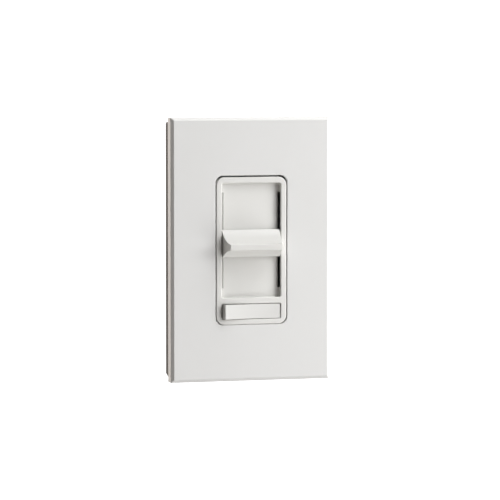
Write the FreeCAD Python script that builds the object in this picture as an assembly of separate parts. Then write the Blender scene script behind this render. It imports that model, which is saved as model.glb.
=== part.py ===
"""Slide dimmer with a small on/off rocker, behind a screwless cover plate.

Millimetres. X runs to the right, Y into the wall and Z up, seen from the room.
The wall's surface is y = 0 and the origin is the centre of the two box screws.
"""
import FreeCAD, Part
import math
import os

V = FreeCAD.Vector

# --- cover plate and its adapter ---------------------------------------------
PLATE_W = 75.0
PLATE_H = 119.0
PLATE_PROUD = 9.0        # the plate's front face in front of the wall
PLATE_WALL = 2.0         # thickness of the front wall
SKIRT_WALL = 1.8
BEVEL_RUN = 1.4          # width of the bevel along the front face
BEVEL_DROP = 1.0         # depth of the bevel
PLATE_EDGE_R = 0.35      # soft edges of the bevel and the opening
PLATE_LIFT = 0.6         # the plate's middle above the device's
OPENING_GAP = 0.38       # between the opening and the bezel, left and right, on average
OPENING_GAP_Z = 0.42     # the same above and below
OPENING_SHIFT = 0.14     # the opening's middle right of the device's
OPENING_LIFT = 0.28      # and above it
OPENING_R = 3.3
COLLAR_WALL = 1.2
ADAPTER_T = 2.0          # adapter plate in front of the strap
ADAPTER_INSET_X = 0.0    # adapter edge inside the plate's edge, left and right
ADAPTER_INSET_TOP = 2.0  # the same at the top
ADAPTER_INSET_LOW = 1.5  # and at the bottom
ADAPTER_CORNER = 2.4     # height of its lower corners' chamfer
ADAPTER_CORNER_X = 1.3   # and its width
ADAPTER_CORNER_TOP = 0.6
SKIRT_GAP = 0.2          # slit between the skirt and the adapter
LIP_WALL = 1.3
LIP_H = 3.1              # upstand that the skirt snaps over
LIP_GAP = 0.15
SNAP_W = 8.0
SNAP_X = 20.0
SNAP_DEPTH = 0.9
SNAP_H = 1.0

# --- device front ------------------------------------------------------------
BEZEL_W = 33.0
BEZEL_H = 66.4
BEZEL_R = 3.7
BEZEL_PROUD = 0.3        # bezel front in front of the plate's face
BEZEL_EDGE_R = 0.5
BEZEL_WALL = 1.5         # side wall behind the front rim
SIDE_RIM = 2.6
TOP_RIM = 2.7
BOTTOM_RIM = 2.3
SILL = 2.75              # bar between the window and the rocker
POCKET_H = 7.0           # rocker pocket
WINDOW_DEPTH = 2.3       # panel face behind the rim
PANEL_T = 1.5
PANEL_ROLL_DEPTH = 0.7
PANEL_ROLL = 2.4         # the panel's long edges roll back into the slots
SLOT_W = 0.5
SLOT_UNDERCUT = 1.0      # a slot runs this far under the rim
UNDERCUT_FRONT = 1.0     # and starts this far in front of the panel
SLOT_END = 4.25          # panel left above and below each slot
PEG_R = 0.8
PEG_X = 11.0
PEG_INSET = 1.15

# --- slider ------------------------------------------------------------------
KNOB_SIDE_GAP = 0.4
KNOB_H = 12.2
KNOB_PROUD = 8.3         # nose in front of the rim
KNOB_NOSE_TOP = 0.1      # nose edges, measured from the knob's middle
KNOB_NOSE_BOTTOM = -2.7
KNOB_NOSE_LEAN = 0.4     # nose's lower edge behind its upper edge
KNOB_SHOULDER = 1.35     # the top flare meets the rim plane this far down
KNOB_DRAFT = 8.9         # degrees, both end faces
KNOB_EDGE_R = 0.3
KNOB_UNDER_GAP = 0.3     # knob to panel
TOP_FLARE_R = 11.2
BOTTOM_FLARE_R = 13.0
LEG_H = 8.0
LEG_T = 0.7
LEG_GAP = 0.15           # between a leg and the panel's edge
FOOT_T = 0.6             # crosspiece that joins the legs
LEG_END_GAP = 0.3        # left at each end of the travel
KNOB_REST = -1.32        # knob's middle from the window's middle as stored
CARRIAGE_GAP = 0.2
CARRIAGE_T = 2.1
CARRIAGE_H = 12.0
SOCKET_R = 2.4
SPRING_LEAF_W = 3.0
SPRING_LEAF_T = 0.25
SPRING_X = 6.0

# --- rocker ------------------------------------------------------------------
ROCKER_SIDE_GAP = 0.25   # above and below the rocker
ROCKER_END_GAP = 0.35    # left and right of it
ROCKER_V = 5.4           # each half leans this many degrees
ROCKER_RECESS = 0.2      # pressed half behind the rim
ROCKER_T = 3.2
PIVOT_DEPTH = 1.5        # pivot behind the crease of the V
TRUNNION_R = 1.0
TRUNNION_L = 1.2
RUNNING_GAP = 0.06
STEM_R = 2.6
STEM_END = 12.2          # stem's end, from the pivot
PLUNGER_R = 1.5
PLUNGER_TIP = 15.6       # plunger's tip, from the pivot
PLUNGER_L = 9.0
PLUNGER_GAP = 0.1

# --- strap, box and plate screws ----------------------------------------------
STRAP_W = 44.5
STRAP_H = 106.0
STRAP_T = 1.5
STRAP_R = 3.0
BOX_SCREW_SPACING = 83.3
PLATE_SCREW_SPACING = 96.8
SCREW_R = 1.7525         # number 6 machine thread
SCREW_NECK_R = 1.55
SCREW_HEAD_R = 3.2
SCREW_HEAD_H = 2.3
BOX_SCREW_REACH = 23.0
PLATE_SCREW_REACH = 4.0
SLOT_HALF_H = 2.1
SLOT_HALF_W = 3.4
HEAD_HOLE_R = 4.3
GROUND_TAB_W = 10.0
GROUND_TAB_L = 10.5
GROUND_TAB_Z = -41.0
GROUND_TAB_T = 1.2

# --- housing -----------------------------------------------------------------
HOUSING_W = 42.0
HOUSING_OVER = 0.3       # housing beyond the bezel, above and below
HOUSING_D = 30.0
HOUSING_WALL = 1.8
HOUSING_R = 2.0
BOSS_R = 3.1
BOSS_INSET = 3.4
HOUSING_SCREW_R = 1.5
HOUSING_HEAD_R = 2.7
HOUSING_HEAD_H = 2.2
HOUSING_HEAD_SUNK = 0.4

# --- control circuit ---------------------------------------------------------
SHEET_T = 0.4
POT_W = 9.2
POT_D = 6.5
POT_FRONT = 0.6
POT_WALL = 0.5
POT_END = 5.0            # pot case beyond the lever at each end of its travel
TRACK_T = 1.0
LEVER_W = 4.0
LEVER_T = 1.2
WIPER_H = 6.0
BOARD_T = 1.6
BOARD_GAP = 0.5
PIN_R = 0.4
TRIAC_W = 10.0
TRIAC_BODY_H = 9.0
TRIAC_TAB_H = 6.5
TRIAC_BODY_T = 4.4
TRIAC_TAB_T = 1.3
TRIAC_X = 12.2
TRIAC_DROP = 25.2        # lower edge of its body below the board's top edge
RIVET_R = 1.6
CHOKE_R_IN = 5.3
CHOKE_R_OUT = 9.0
CHOKE_T = 7.0
CHOKE_X = -8.4
CHOKE_DROP = 13.6
CHOKE_TURNS = 22
WIRE_R = 0.4
CAP_W = 13.0
CAP_T = 6.0
CAP_H = 11.0
CAP_X = 11.0
CAP_DROPS = (21.6, 12.8)
RESISTOR_L = 6.4
RESISTOR_R = 1.2
RESISTOR_X = -8.0
RESISTOR_DROPS = (27.6, 31.6, 35.6)
DIAC_L = 4.0
DIAC_R = 0.95
DIAC_X = 8.0
DIAC_DROP = 33.0

# --- switch and terminals ----------------------------------------------------
ARM_PIVOT_GAP = 1.6      # arm pivot behind the plunger's tip
ARM_HALF = 9.5
ARM_T = 0.8
ARM_SIDE = 0.75          # arm narrower than the rocker, above and below
ARM_FACE = 1.5           # arm's front face, from its pivot
ARM_SWING = 6.0          # degrees each way
ARM_PIN_R = 0.8
CONTACT_R = 1.6
CONTACT_T = 0.9
CONTACT_X = 7.6
CONTACT_GAP = 0.08
STRIP_T = 0.8
TERMINAL_H = 12.0
TERMINAL_D = 11.0
TERMINAL_RISE = 17.5     # terminals above the housing's lower edge
TERMINAL_HEAD_R = 3.6
TERMINAL_HEAD_H = 2.2
TERMINAL_HOLE_R = 2.2
TERMINAL_GAP = 0.4       # terminal screws behind the board

# --- planes along Y, from the room into the wall ------------------------------
Y_FACE = -PLATE_PROUD
Y_RIM = Y_FACE - BEZEL_PROUD
Y_PANEL = Y_RIM + WINDOW_DEPTH
Y_PANEL_BACK = Y_PANEL + PANEL_T
Y_CARRIAGE = Y_PANEL_BACK + CARRIAGE_GAP
Y_CARRIAGE_BACK = Y_CARRIAGE + CARRIAGE_T
Y_STRAP = -STRAP_T
Y_ADAPTER = Y_STRAP - ADAPTER_T
Y_SKIRT = Y_ADAPTER - SKIRT_GAP
Y_BEVEL = Y_FACE + BEVEL_DROP
Y_PLATE_BACK = Y_FACE + PLATE_WALL
Y_PIVOT = Y_RIM + ROCKER_RECESS + PIVOT_DEPTH
Y_POT_BACK = POT_FRONT + POT_D
Y_BOARD = Y_POT_BACK
Y_BOARD_BACK = Y_BOARD + BOARD_T
Y_ARM = Y_PIVOT + PLUNGER_TIP + ARM_PIVOT_GAP
TERMINAL_Y = Y_BOARD_BACK + TERMINAL_GAP + SCREW_R
Y_INSIDE = HOUSING_D - HOUSING_WALL

# --- the front's layout across X and Z ----------------------------------------
BEZEL_X = BEZEL_W / 2
BEZEL_Z = BEZEL_H / 2
OPENING_X = BEZEL_X + OPENING_GAP
OPENING_Z = BEZEL_Z + OPENING_GAP_Z
PLATE_TOP = PLATE_H / 2 + PLATE_LIFT
PLATE_LOW = PLATE_LIFT - PLATE_H / 2
WINDOW_X = BEZEL_X - SIDE_RIM
WINDOW_TOP = BEZEL_Z - TOP_RIM
POCKET_BOTTOM = -BEZEL_Z + BOTTOM_RIM
POCKET_TOP = POCKET_BOTTOM + POCKET_H
WINDOW_BOTTOM = POCKET_TOP + SILL
WINDOW_Z = (WINDOW_TOP + WINDOW_BOTTOM) / 2
SLOT_L = WINDOW_TOP - WINDOW_BOTTOM - 2 * SLOT_END
ROCKER_Z = (POCKET_TOP + POCKET_BOTTOM) / 2
ROCKER_H = POCKET_H - 2 * ROCKER_SIDE_GAP
ROCKER_R = WINDOW_X - ROCKER_END_GAP
TRAVEL = SLOT_L - LEG_H - 2 * LEG_END_GAP
KNOB_Z = WINDOW_Z + KNOB_REST
KNOB_X = WINDOW_X - KNOB_SIDE_GAP
LEG_X = WINDOW_X - SLOT_W + LEG_GAP + LEG_T / 2
CAVITY_X = BEZEL_X - BEZEL_WALL
HOUSING_X = HOUSING_W / 2
HOUSING_Z = BEZEL_Z + HOUSING_OVER
INNER_X = HOUSING_X - HOUSING_WALL
INNER_Z = HOUSING_Z - HOUSING_WALL
BOSS_X = HOUSING_X - BOSS_INSET
BOSS_Z = HOUSING_Z - BOSS_INSET
POT_Z0 = WINDOW_Z - TRAVEL / 2 - LEVER_W / 2 - POT_END
POT_Z1 = WINDOW_Z + TRAVEL / 2 + LEVER_W / 2 + POT_END
BOARD_Z0 = POT_Z0
BOARD_Z1 = INNER_Z - BOARD_GAP
BOARD_X = INNER_X - BOARD_GAP
TRIAC_Z = BOARD_Z1 - TRIAC_DROP
CHOKE_Z = BOARD_Z1 - CHOKE_DROP
CAP_Z = [BOARD_Z1 - drop for drop in CAP_DROPS]
RESISTOR_Z = [BOARD_Z1 - drop for drop in RESISTOR_DROPS]
DIAC_Z = BOARD_Z1 - DIAC_DROP
TERMINAL_Z = TERMINAL_RISE - HOUSING_Z
ARM_W = ROCKER_H - 2 * ARM_SIDE
ARM_COUPLING = -ARM_SWING / ROCKER_V


# --- helpers -----------------------------------------------------------------
def box(x0, x1, y0, y1, z0, z1):
    """A block between two corners."""
    return Part.makeBox(x1 - x0, y1 - y0, z1 - z0, V(x0, y0, z0))


def rod(radius, start, end):
    """A cylinder from one point to another."""
    axis = end - start
    return Part.makeCylinder(radius, axis.Length, start, axis)


def rod_y(radius, x, z, y0, y1):
    return rod(radius, V(x, y0, z), V(x, y1, z))


def rounded_outline(half_x, half_z, radius, y, cx=0.0, cz=0.0):
    """A closed rounded rectangle in the plane y."""
    x0, x1 = cx - half_x, cx + half_x
    z0, z1 = cz - half_z, cz + half_z
    lean = radius * (1 - math.sqrt(0.5))
    edges = []
    corners = [
        (V(x1 - radius, y, z1), V(x1 - lean, y, z1 - lean), V(x1, y, z1 - radius)),
        (V(x1, y, z0 + radius), V(x1 - lean, y, z0 + lean), V(x1 - radius, y, z0)),
        (V(x0 + radius, y, z0), V(x0 + lean, y, z0 + lean), V(x0, y, z0 + radius)),
        (V(x0, y, z1 - radius), V(x0 + lean, y, z1 - lean), V(x0 + radius, y, z1)),
    ]
    last = corners[-1][2]
    for first, middle, end in corners:
        if (first - last).Length > 1e-6:
            edges.append(Part.LineSegment(last, first).toShape())
        edges.append(Part.Arc(first, middle, end).toShape())
        last = end
    return Part.Wire(edges)


def rounded_slab(half_x, half_z, radius, y0, y1, cx=0.0, cz=0.0):
    """A rounded rectangle pushed from y0 to y1."""
    face = Part.Face(rounded_outline(half_x, half_z, radius, y0, cx, cz))
    return face.extrude(V(0, y1 - y0, 0))


def polygon_prism(points, push):
    """A flat polygon pushed along a vector."""
    return Part.Face(Part.makePolygon(points + [points[0]])).extrude(push)


def edges_where(shape, test):
    """The edges whose every vertex passes the test."""
    return [e for e in shape.Edges if all(test(v.Point) for v in e.Vertexes)]


def joined(first, *others):
    """One clean solid from pieces that touch or overlap."""
    shape = first
    for other in others:
        shape = shape.fuse(other)
    return shape.removeSplitter()


def screw_head_y(radius, height, x, z, seat, crown=0.5):
    """A pan head that sits on the plane y = seat and faces the room, with a cross slot."""
    head = rod_y(radius, x, z, seat - height, seat)
    head = head.makeFillet(crown, edges_where(head, lambda p: abs(p.y - seat + height) < 1e-6))
    slot = box(x - radius, x + radius, seat - height, seat - height * 0.5, z - 0.4, z + 0.4)
    return head.cut(slot)


def export(shape, node):
    """Write one node and say whether it is sound."""
    if len(shape.Solids) == 1:
        shape = shape.Solids[0]
    shape.exportStep("parts/" + node + ".step")
    print(node, len(shape.Solids), "valid" if shape.isValid() else "INVALID", round(shape.Volume, 1))


# --- cover plate and adapter -------------------------------------------------
def wall_plate():
    """The screwless plate: bevelled face, skirt, opening with a collar, snap ridges."""
    half_x = PLATE_W / 2
    skirt = box(-half_x, half_x, Y_BEVEL, Y_SKIRT, PLATE_LOW, PLATE_TOP)
    outlines = []
    for run, y in ((0.0, Y_BEVEL), (BEVEL_RUN, Y_FACE)):
        x, z0, z1 = half_x - run, PLATE_LOW + run, PLATE_TOP - run
        corners = [V(-x, y, z0), V(x, y, z0), V(x, y, z1), V(-x, y, z1)]
        outlines.append(Part.makePolygon(corners + [corners[0]]))
    shell = joined(skirt, Part.makeLoft(outlines, True, True))
    bevel_edges = edges_where(shell, lambda p: p.y < Y_BEVEL + 0.01)
    shell = shell.makeFillet(PLATE_EDGE_R, bevel_edges)
    inner_x = half_x - SKIRT_WALL
    shell = shell.cut(box(-inner_x, inner_x, Y_PLATE_BACK, 1.0,
                          PLATE_LOW + SKIRT_WALL, PLATE_TOP - SKIRT_WALL))
    collar = rounded_slab(OPENING_X + COLLAR_WALL, OPENING_Z + COLLAR_WALL,
                          OPENING_R + COLLAR_WALL, Y_PLATE_BACK, Y_SKIRT,
                          OPENING_SHIFT, OPENING_LIFT)
    shell = joined(shell, collar)
    shell = shell.cut(rounded_slab(OPENING_X, OPENING_Z, OPENING_R, Y_FACE - 1, 1.0,
                                   OPENING_SHIFT, OPENING_LIFT))
    rim = [e for e in shell.Edges
           if all(abs(v.Point.y - Y_FACE) < 1e-6
                  and abs(v.Point.x - OPENING_SHIFT) < OPENING_X + 0.01
                  and abs(v.Point.z - OPENING_LIFT) < OPENING_Z + 0.01 for v in e.Vertexes)]
    shell = shell.makeFillet(PLATE_EDGE_R, rim)
    return joined(shell, *snap_ridges())


def snap_ridges():
    """Two ridges inside the top skirt and two inside the bottom one."""
    middle = (Y_ADAPTER - LIP_H + Y_ADAPTER) / 2
    ridges = []
    for side, skirt in ((-1, PLATE_LOW + SKIRT_WALL), (1, PLATE_TOP - SKIRT_WALL)):
        for x in (-SNAP_X, SNAP_X):
            points = [V(x - SNAP_W / 2, middle - SNAP_H / 2, skirt),
                      V(x - SNAP_W / 2, middle + SNAP_H / 2, skirt),
                      V(x - SNAP_W / 2, middle, skirt - side * SNAP_DEPTH)]
            ridges.append(polygon_prism(points, V(SNAP_W, 0, 0)))
    return ridges


def plate_adapter():
    """The sub-plate screwed over the strap: flange, upstand, screw and head holes."""
    half_x = PLATE_W / 2 - ADAPTER_INSET_X
    low, top = PLATE_LOW + ADAPTER_INSET_LOW, PLATE_TOP - ADAPTER_INSET_TOP
    cut, cut_x, cut_top = ADAPTER_CORNER, ADAPTER_CORNER_X, ADAPTER_CORNER_TOP
    corners = [V(half_x - cut_top, Y_ADAPTER, top), V(half_x, Y_ADAPTER, top - cut_top),
               V(half_x, Y_ADAPTER, low + cut), V(half_x - cut_x, Y_ADAPTER, low),
               V(cut_x - half_x, Y_ADAPTER, low), V(-half_x, Y_ADAPTER, low + cut),
               V(-half_x, Y_ADAPTER, top - cut_top), V(cut_top - half_x, Y_ADAPTER, top)]
    plate = polygon_prism(corners, V(0, -Y_ADAPTER, 0))
    lip_x = PLATE_W / 2 - SKIRT_WALL - LIP_GAP
    lip_in = max(SKIRT_WALL, ADAPTER_INSET_TOP, ADAPTER_INSET_LOW) + LIP_GAP
    lip_low, lip_top = PLATE_LOW + lip_in, PLATE_TOP - lip_in
    lip = box(-lip_x, lip_x, Y_ADAPTER - LIP_H, Y_ADAPTER, lip_low, lip_top)
    lip = lip.cut(box(LIP_WALL - lip_x, lip_x - LIP_WALL, Y_ADAPTER - LIP_H - 1, Y_ADAPTER,
                      lip_low + LIP_WALL, lip_top - LIP_WALL))
    body = joined(plate, lip)
    for x in (-SNAP_X, SNAP_X):
        for edge in (lip_low, lip_top):
            body = body.cut(box(x - SNAP_W / 2 - 0.3, x + SNAP_W / 2 + 0.3,
                                Y_ADAPTER - LIP_H / 2 - SNAP_H / 2 - 0.2,
                                Y_ADAPTER - LIP_H / 2 + SNAP_H / 2 + 0.2,
                                edge - LIP_WALL - 0.1, edge + LIP_WALL + 0.1))
    recess = 0.25
    body = body.cut(rounded_slab(STRAP_W / 2 + recess, STRAP_H / 2 + recess, STRAP_R, Y_STRAP, 1.0))
    body = body.cut(rounded_slab(BEZEL_X + 0.5, BEZEL_Z + 0.5, BEZEL_R + 0.3, Y_ADAPTER - 1, 1.0))
    for side in (-1, 1):
        body = body.cut(rod_y(HEAD_HOLE_R, 0, side * BOX_SCREW_SPACING / 2, Y_ADAPTER - 1, 1.0))
        body = body.cut(rod_y(SCREW_R + 0.25, 0, side * PLATE_SCREW_SPACING / 2, Y_ADAPTER - 1, 1.0))
    return body


def machine_screws(spacing, seat, neck_end, reach):
    """Two pan-head screws, one above the other, with a thread that starts behind a neck."""
    screws = []
    for side in (-1, 1):
        z = side * spacing / 2
        head = screw_head_y(SCREW_HEAD_R, SCREW_HEAD_H, 0, z, seat)
        neck = rod_y(SCREW_NECK_R, 0, z, seat, neck_end)
        thread = rod_y(SCREW_R, 0, z, neck_end, reach)
        tip = edges_where(thread, lambda p: abs(p.y - reach) < 1e-6)
        screws.append(joined(head, neck, thread.makeChamfer(0.4, tip)))
    return Part.makeCompound(screws)


# --- device front ------------------------------------------------------------
def bezel_frame():
    """The moulded front: rim, window with its panel and slots, sill and rocker pocket."""
    body = rounded_slab(BEZEL_X, BEZEL_Z, BEZEL_R, Y_RIM, Y_STRAP)
    front = edges_where(body, lambda p: abs(p.y - Y_RIM) < 1e-6)
    body = body.makeFillet(BEZEL_EDGE_R, front)
    window_half = (WINDOW_TOP - WINDOW_BOTTOM) / 2
    window = rounded_slab(WINDOW_X, window_half, 0.9, Y_RIM - 1, Y_PANEL, 0, WINDOW_Z)
    pocket = rounded_slab(WINDOW_X, POCKET_H / 2, 0.6, Y_RIM - 1, Y_STRAP + 1, 0, ROCKER_Z)
    body = body.cut(window).cut(pocket)
    inner_rims = [e for e in body.Edges
                  if all(abs(v.Point.y - Y_RIM) < 1e-6 and abs(v.Point.x) < WINDOW_X + 0.01
                         for v in e.Vertexes)]
    body = body.makeFillet(BEZEL_EDGE_R * 0.8, inner_rims)
    body = body.cut(box(-CAVITY_X, CAVITY_X, Y_PANEL_BACK, 1.0,
                        WINDOW_BOTTOM + BEZEL_WALL / 2, WINDOW_TOP))
    body = body.cut(box(-CAVITY_X, CAVITY_X, Y_PIVOT + TRUNNION_R + 1.6, 1.0,
                        POCKET_BOTTOM, POCKET_TOP))
    for side in (-1, 1):
        body = body.cut(slot_cut(side))
    body = body.cut(rod(TRUNNION_R + RUNNING_GAP,
                        V(0, Y_PIVOT, POCKET_BOTTOM - TRUNNION_L - 0.15),
                        V(0, Y_PIVOT, POCKET_TOP + TRUNNION_L + 0.15)))
    pegs = [rod_y(PEG_R, x, side * (BEZEL_Z - PEG_INSET), Y_STRAP, -0.1)
            for x in (-PEG_X, PEG_X) for side in (-1, 1)]
    return joined(body, *pegs)


def slot_cut(side):
    """One long slot beside the panel, and the roll of the panel's edge beside it."""
    z0, z1 = WINDOW_Z - SLOT_L / 2, WINDOW_Z + SLOT_L / 2
    outer = side * WINDOW_X
    inner = side * (WINDOW_X - SLOT_W)
    slot = box(min(outer, inner), max(outer, inner), Y_PANEL - 0.5, Y_PANEL_BACK + 0.5, z0, z1)
    under = sorted((inner, outer + side * SLOT_UNDERCUT))
    slot = slot.fuse(box(under[0], under[1], Y_PANEL - UNDERCUT_FRONT, Y_PANEL_BACK + 0.5, z0, z1))
    start = V(side * (WINDOW_X - SLOT_W - PANEL_ROLL), Y_PANEL, z0)
    end = V(inner, Y_PANEL + PANEL_ROLL_DEPTH, z0)
    middle = V(start.x + (end.x - start.x) * 0.72, Y_PANEL + PANEL_ROLL_DEPTH * 0.3, z0)
    roof = V(inner, Y_PANEL - 0.5, z0)
    back = V(start.x, Y_PANEL - 0.5, z0)
    edges = [Part.Arc(start, middle, end).toShape(),
             Part.LineSegment(end, roof).toShape(),
             Part.LineSegment(roof, back).toShape(),
             Part.LineSegment(back, start).toShape()]
    roll = Part.Face(Part.Wire(edges)).extrude(V(0, 0, z1 - z0))
    return slot.fuse(roll)


# --- slider ------------------------------------------------------------------
def flare(start, end, radius):
    """An arc between two points of the knob's section, hollow towards the room."""
    chord = end - start
    half = chord.Length / 2
    sag = radius - math.sqrt(radius * radius - half * half)
    normal = V(0, -chord.z, chord.y).normalize()
    if normal.y < 0:
        normal = normal * -1
    return Part.Arc(start, (start + end) * 0.5 + normal * sag, end).toShape()


def slider_knob():
    """The wedge that the fingers push, with a foot under the rim and two legs."""
    back = Y_PANEL - KNOB_UNDER_GAP
    nose = Y_RIM - KNOB_PROUD
    half = KNOB_H / 2
    top_in = V(0, Y_RIM + KNOB_SHOULDER * 0.7, half)
    top_out = V(0, nose, KNOB_NOSE_TOP)
    low_out = V(0, nose + KNOB_NOSE_LEAN, KNOB_NOSE_BOTTOM)
    low_in = V(0, Y_RIM, -half)
    edges = [
        Part.LineSegment(V(0, back, half), top_in).toShape(),
        flare(top_in, top_out, TOP_FLARE_R),
        Part.LineSegment(top_out, low_out).toShape(),
        flare(low_out, low_in, BOTTOM_FLARE_R),
        Part.LineSegment(low_in, V(0, back, -half)).toShape(),
        Part.LineSegment(V(0, back, -half), V(0, back, half)).toShape(),
    ]
    section = Part.Face(Part.Wire(edges))
    body = section.extrude(V(2 * KNOB_X, 0, 0))
    body.translate(V(-KNOB_X, 0, 0))
    lean = KNOB_PROUD * math.tan(math.radians(KNOB_DRAFT))
    plan = [V(-KNOB_X, back + 1, -half - 1), V(-KNOB_X, Y_RIM, -half - 1),
            V(lean - KNOB_X, nose, -half - 1), V(lean - KNOB_X, nose - 1, -half - 1),
            V(KNOB_X - lean, nose - 1, -half - 1), V(KNOB_X - lean, nose, -half - 1),
            V(KNOB_X, Y_RIM, -half - 1), V(KNOB_X, back + 1, -half - 1)]
    body = body.common(polygon_prism(plan, V(0, 0, KNOB_H + 2)))
    proud = edges_where(body, lambda p: p.y < Y_RIM - 1.0)
    body = body.makeFillet(KNOB_EDGE_R, proud)
    foot = box(-LEG_X - LEG_T / 2, LEG_X + LEG_T / 2, back - FOOT_T, back, -LEG_H / 2, LEG_H / 2)
    legs = [box(side * LEG_X - LEG_T / 2, side * LEG_X + LEG_T / 2, back, Y_CARRIAGE,
                -LEG_H / 2, LEG_H / 2) for side in (-1, 1)]
    shape = joined(body, foot, *legs)
    shape.translate(V(0, 0, KNOB_Z))
    return shape


def slider_carriage():
    """The plate that slides behind the panel and carries the knob and the lever."""
    half = CAVITY_X - 0.35
    plate = box(-half, half, Y_CARRIAGE, Y_CARRIAGE_BACK, -CARRIAGE_H / 2, CARRIAGE_H / 2)
    plate = plate.makeFillet(0.8, [e for e in plate.Edges
                                   if abs(e.Vertexes[0].Point.y - e.Vertexes[-1].Point.y) > 1.0])
    socket = rod_y(SOCKET_R, 0, 0, Y_CARRIAGE_BACK, Y_STRAP - 0.3)
    plate = joined(plate, socket)
    plate = plate.cut(box(-LEVER_T / 2 - 0.05, LEVER_T / 2 + 0.05, Y_CARRIAGE + 0.4, 0,
                          -LEVER_W / 2 - 0.05, LEVER_W / 2 + 0.05))
    plate.translate(V(0, 0, KNOB_Z))
    return plate


def carriage_springs():
    """Two bowed leaves between the carriage and the strap, which hold the slider."""
    leaves = []
    gap = Y_STRAP - Y_CARRIAGE_BACK
    rise = gap - SPRING_LEAF_T - 0.05
    half = CARRIAGE_H / 2 - 1.0
    for x in (-SPRING_X, SPRING_X):
        outer = [V(0, Y_CARRIAGE_BACK, -half), V(0, Y_CARRIAGE_BACK + rise, 0), V(0, Y_CARRIAGE_BACK, half)]
        inner = [p + V(0, SPRING_LEAF_T, 0) for p in outer]
        edges = [Part.Arc(*outer).toShape(), Part.LineSegment(outer[2], inner[2]).toShape(),
                 Part.Arc(*inner).toShape(), Part.LineSegment(inner[0], outer[0]).toShape()]
        leaf = Part.Face(Part.Wire(Part.__sortEdges__(edges))).extrude(V(SPRING_LEAF_W, 0, 0))
        leaf.translate(V(x - SPRING_LEAF_W / 2, 0, KNOB_Z))
        leaves.append(leaf)
    return Part.makeCompound(leaves)


def pot_lever():
    """The metal tongue from the carriage to the wiper, through the strap's slot."""
    tongue = box(-LEVER_T / 2, LEVER_T / 2, Y_CARRIAGE + 0.5, Y_POT_BACK - TRACK_T - 2.6,
                 -LEVER_W / 2, LEVER_W / 2)
    tongue.translate(V(0, 0, KNOB_Z))
    return tongue


def pot_wiper():
    """The insulating block on the lever's end, with two contact blades."""
    back = Y_POT_BACK - TRACK_T
    half_x = POT_W / 2 - POT_WALL - 0.3
    block = box(-half_x, half_x, back - 2.6, back - 1.0, -WIPER_H / 2, WIPER_H / 2)
    blades = [box(x - 0.6, x + 0.6, back - 1.0, back - 0.32, -1.2, 1.2) for x in (-2.0, 2.0)]
    shape = joined(block, *blades)
    shape.translate(V(0, 0, KNOB_Z))
    return shape


# --- rocker, drawn level and then pressed on its right half --------------------
def pressed(shape):
    """Turn a rocker piece from level to its stored pose."""
    shape.rotate(V(0, Y_PIVOT, ROCKER_Z), V(0, 0, 1), ROCKER_V)
    return shape


def rocker_button():
    """The two-way button: shallow V face, round ends, trunnions and a stem."""
    lean = math.radians(ROCKER_V)
    crease = Y_PIVOT - PIVOT_DEPTH
    reach = ROCKER_R - 0.3
    end_y = crease - reach * math.tan(lean)
    back = crease + ROCKER_T
    z0 = ROCKER_Z - ROCKER_H / 2
    outline = [V(0, crease, z0), V(reach + 1, crease - (reach + 1) * math.tan(lean), z0),
               V(reach + 1, back, z0), V(-reach - 1, back, z0),
               V(-reach - 1, crease - (reach + 1) * math.tan(lean), z0)]
    body = polygon_prism(outline, V(0, 0, ROCKER_H))
    body = body.common(Part.makeCylinder(ROCKER_R, ROCKER_H, V(0, Y_PIVOT, z0), V(0, 0, 1)))
    soft = [e for e in body.Edges
            if all(v.Point.y < end_y + 1.2 for v in e.Vertexes) and abs(e.Vertexes[0].Point.x) > 1.0
            and abs(e.Vertexes[-1].Point.x) > 1.0]
    body = body.makeFillet(0.3, soft)
    stem = rod_y(STEM_R, 0, ROCKER_Z, Y_PIVOT, Y_PIVOT + STEM_END)
    pins = rod(TRUNNION_R, V(0, Y_PIVOT, POCKET_BOTTOM - TRUNNION_L),
               V(0, Y_PIVOT, POCKET_TOP + TRUNNION_L))
    body = joined(body, stem, pins)
    bore_start = Y_PIVOT + PLUNGER_TIP - PLUNGER_L - 2.2
    body = body.cut(rod_y(PLUNGER_R + PLUNGER_GAP, 0, ROCKER_Z, bore_start, Y_PIVOT + STEM_END + 1))
    return pressed(body)


def rocker_plunger():
    """The round-nosed plunger that the stem carries."""
    tip = Y_PIVOT + PLUNGER_TIP
    start = tip - PLUNGER_L
    nose = Part.makeSphere(PLUNGER_R, V(0, tip - PLUNGER_R, ROCKER_Z))
    nose = nose.common(rod_y(PLUNGER_R + 1, 0, ROCKER_Z, tip - PLUNGER_R, tip + 1))
    body = rod_y(PLUNGER_R, 0, ROCKER_Z, start, tip - PLUNGER_R)
    return pressed(joined(body, nose))


def plunger_spring():
    """The short spring behind the plunger, as stacked flat rings."""
    start = Y_PIVOT + PLUNGER_TIP - PLUNGER_L - 2.2
    end = Y_PIVOT + PLUNGER_TIP - PLUNGER_L
    wire = 0.22
    turns = 4
    pitch = (end - start - 2 * wire) / (turns - 1)
    rings = [Part.makeTorus(PLUNGER_R - wire - 0.15, wire, V(0, start + wire + i * pitch, ROCKER_Z), V(0, 1, 0))
             for i in range(turns)]
    return pressed(Part.makeCompound(rings))


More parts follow.
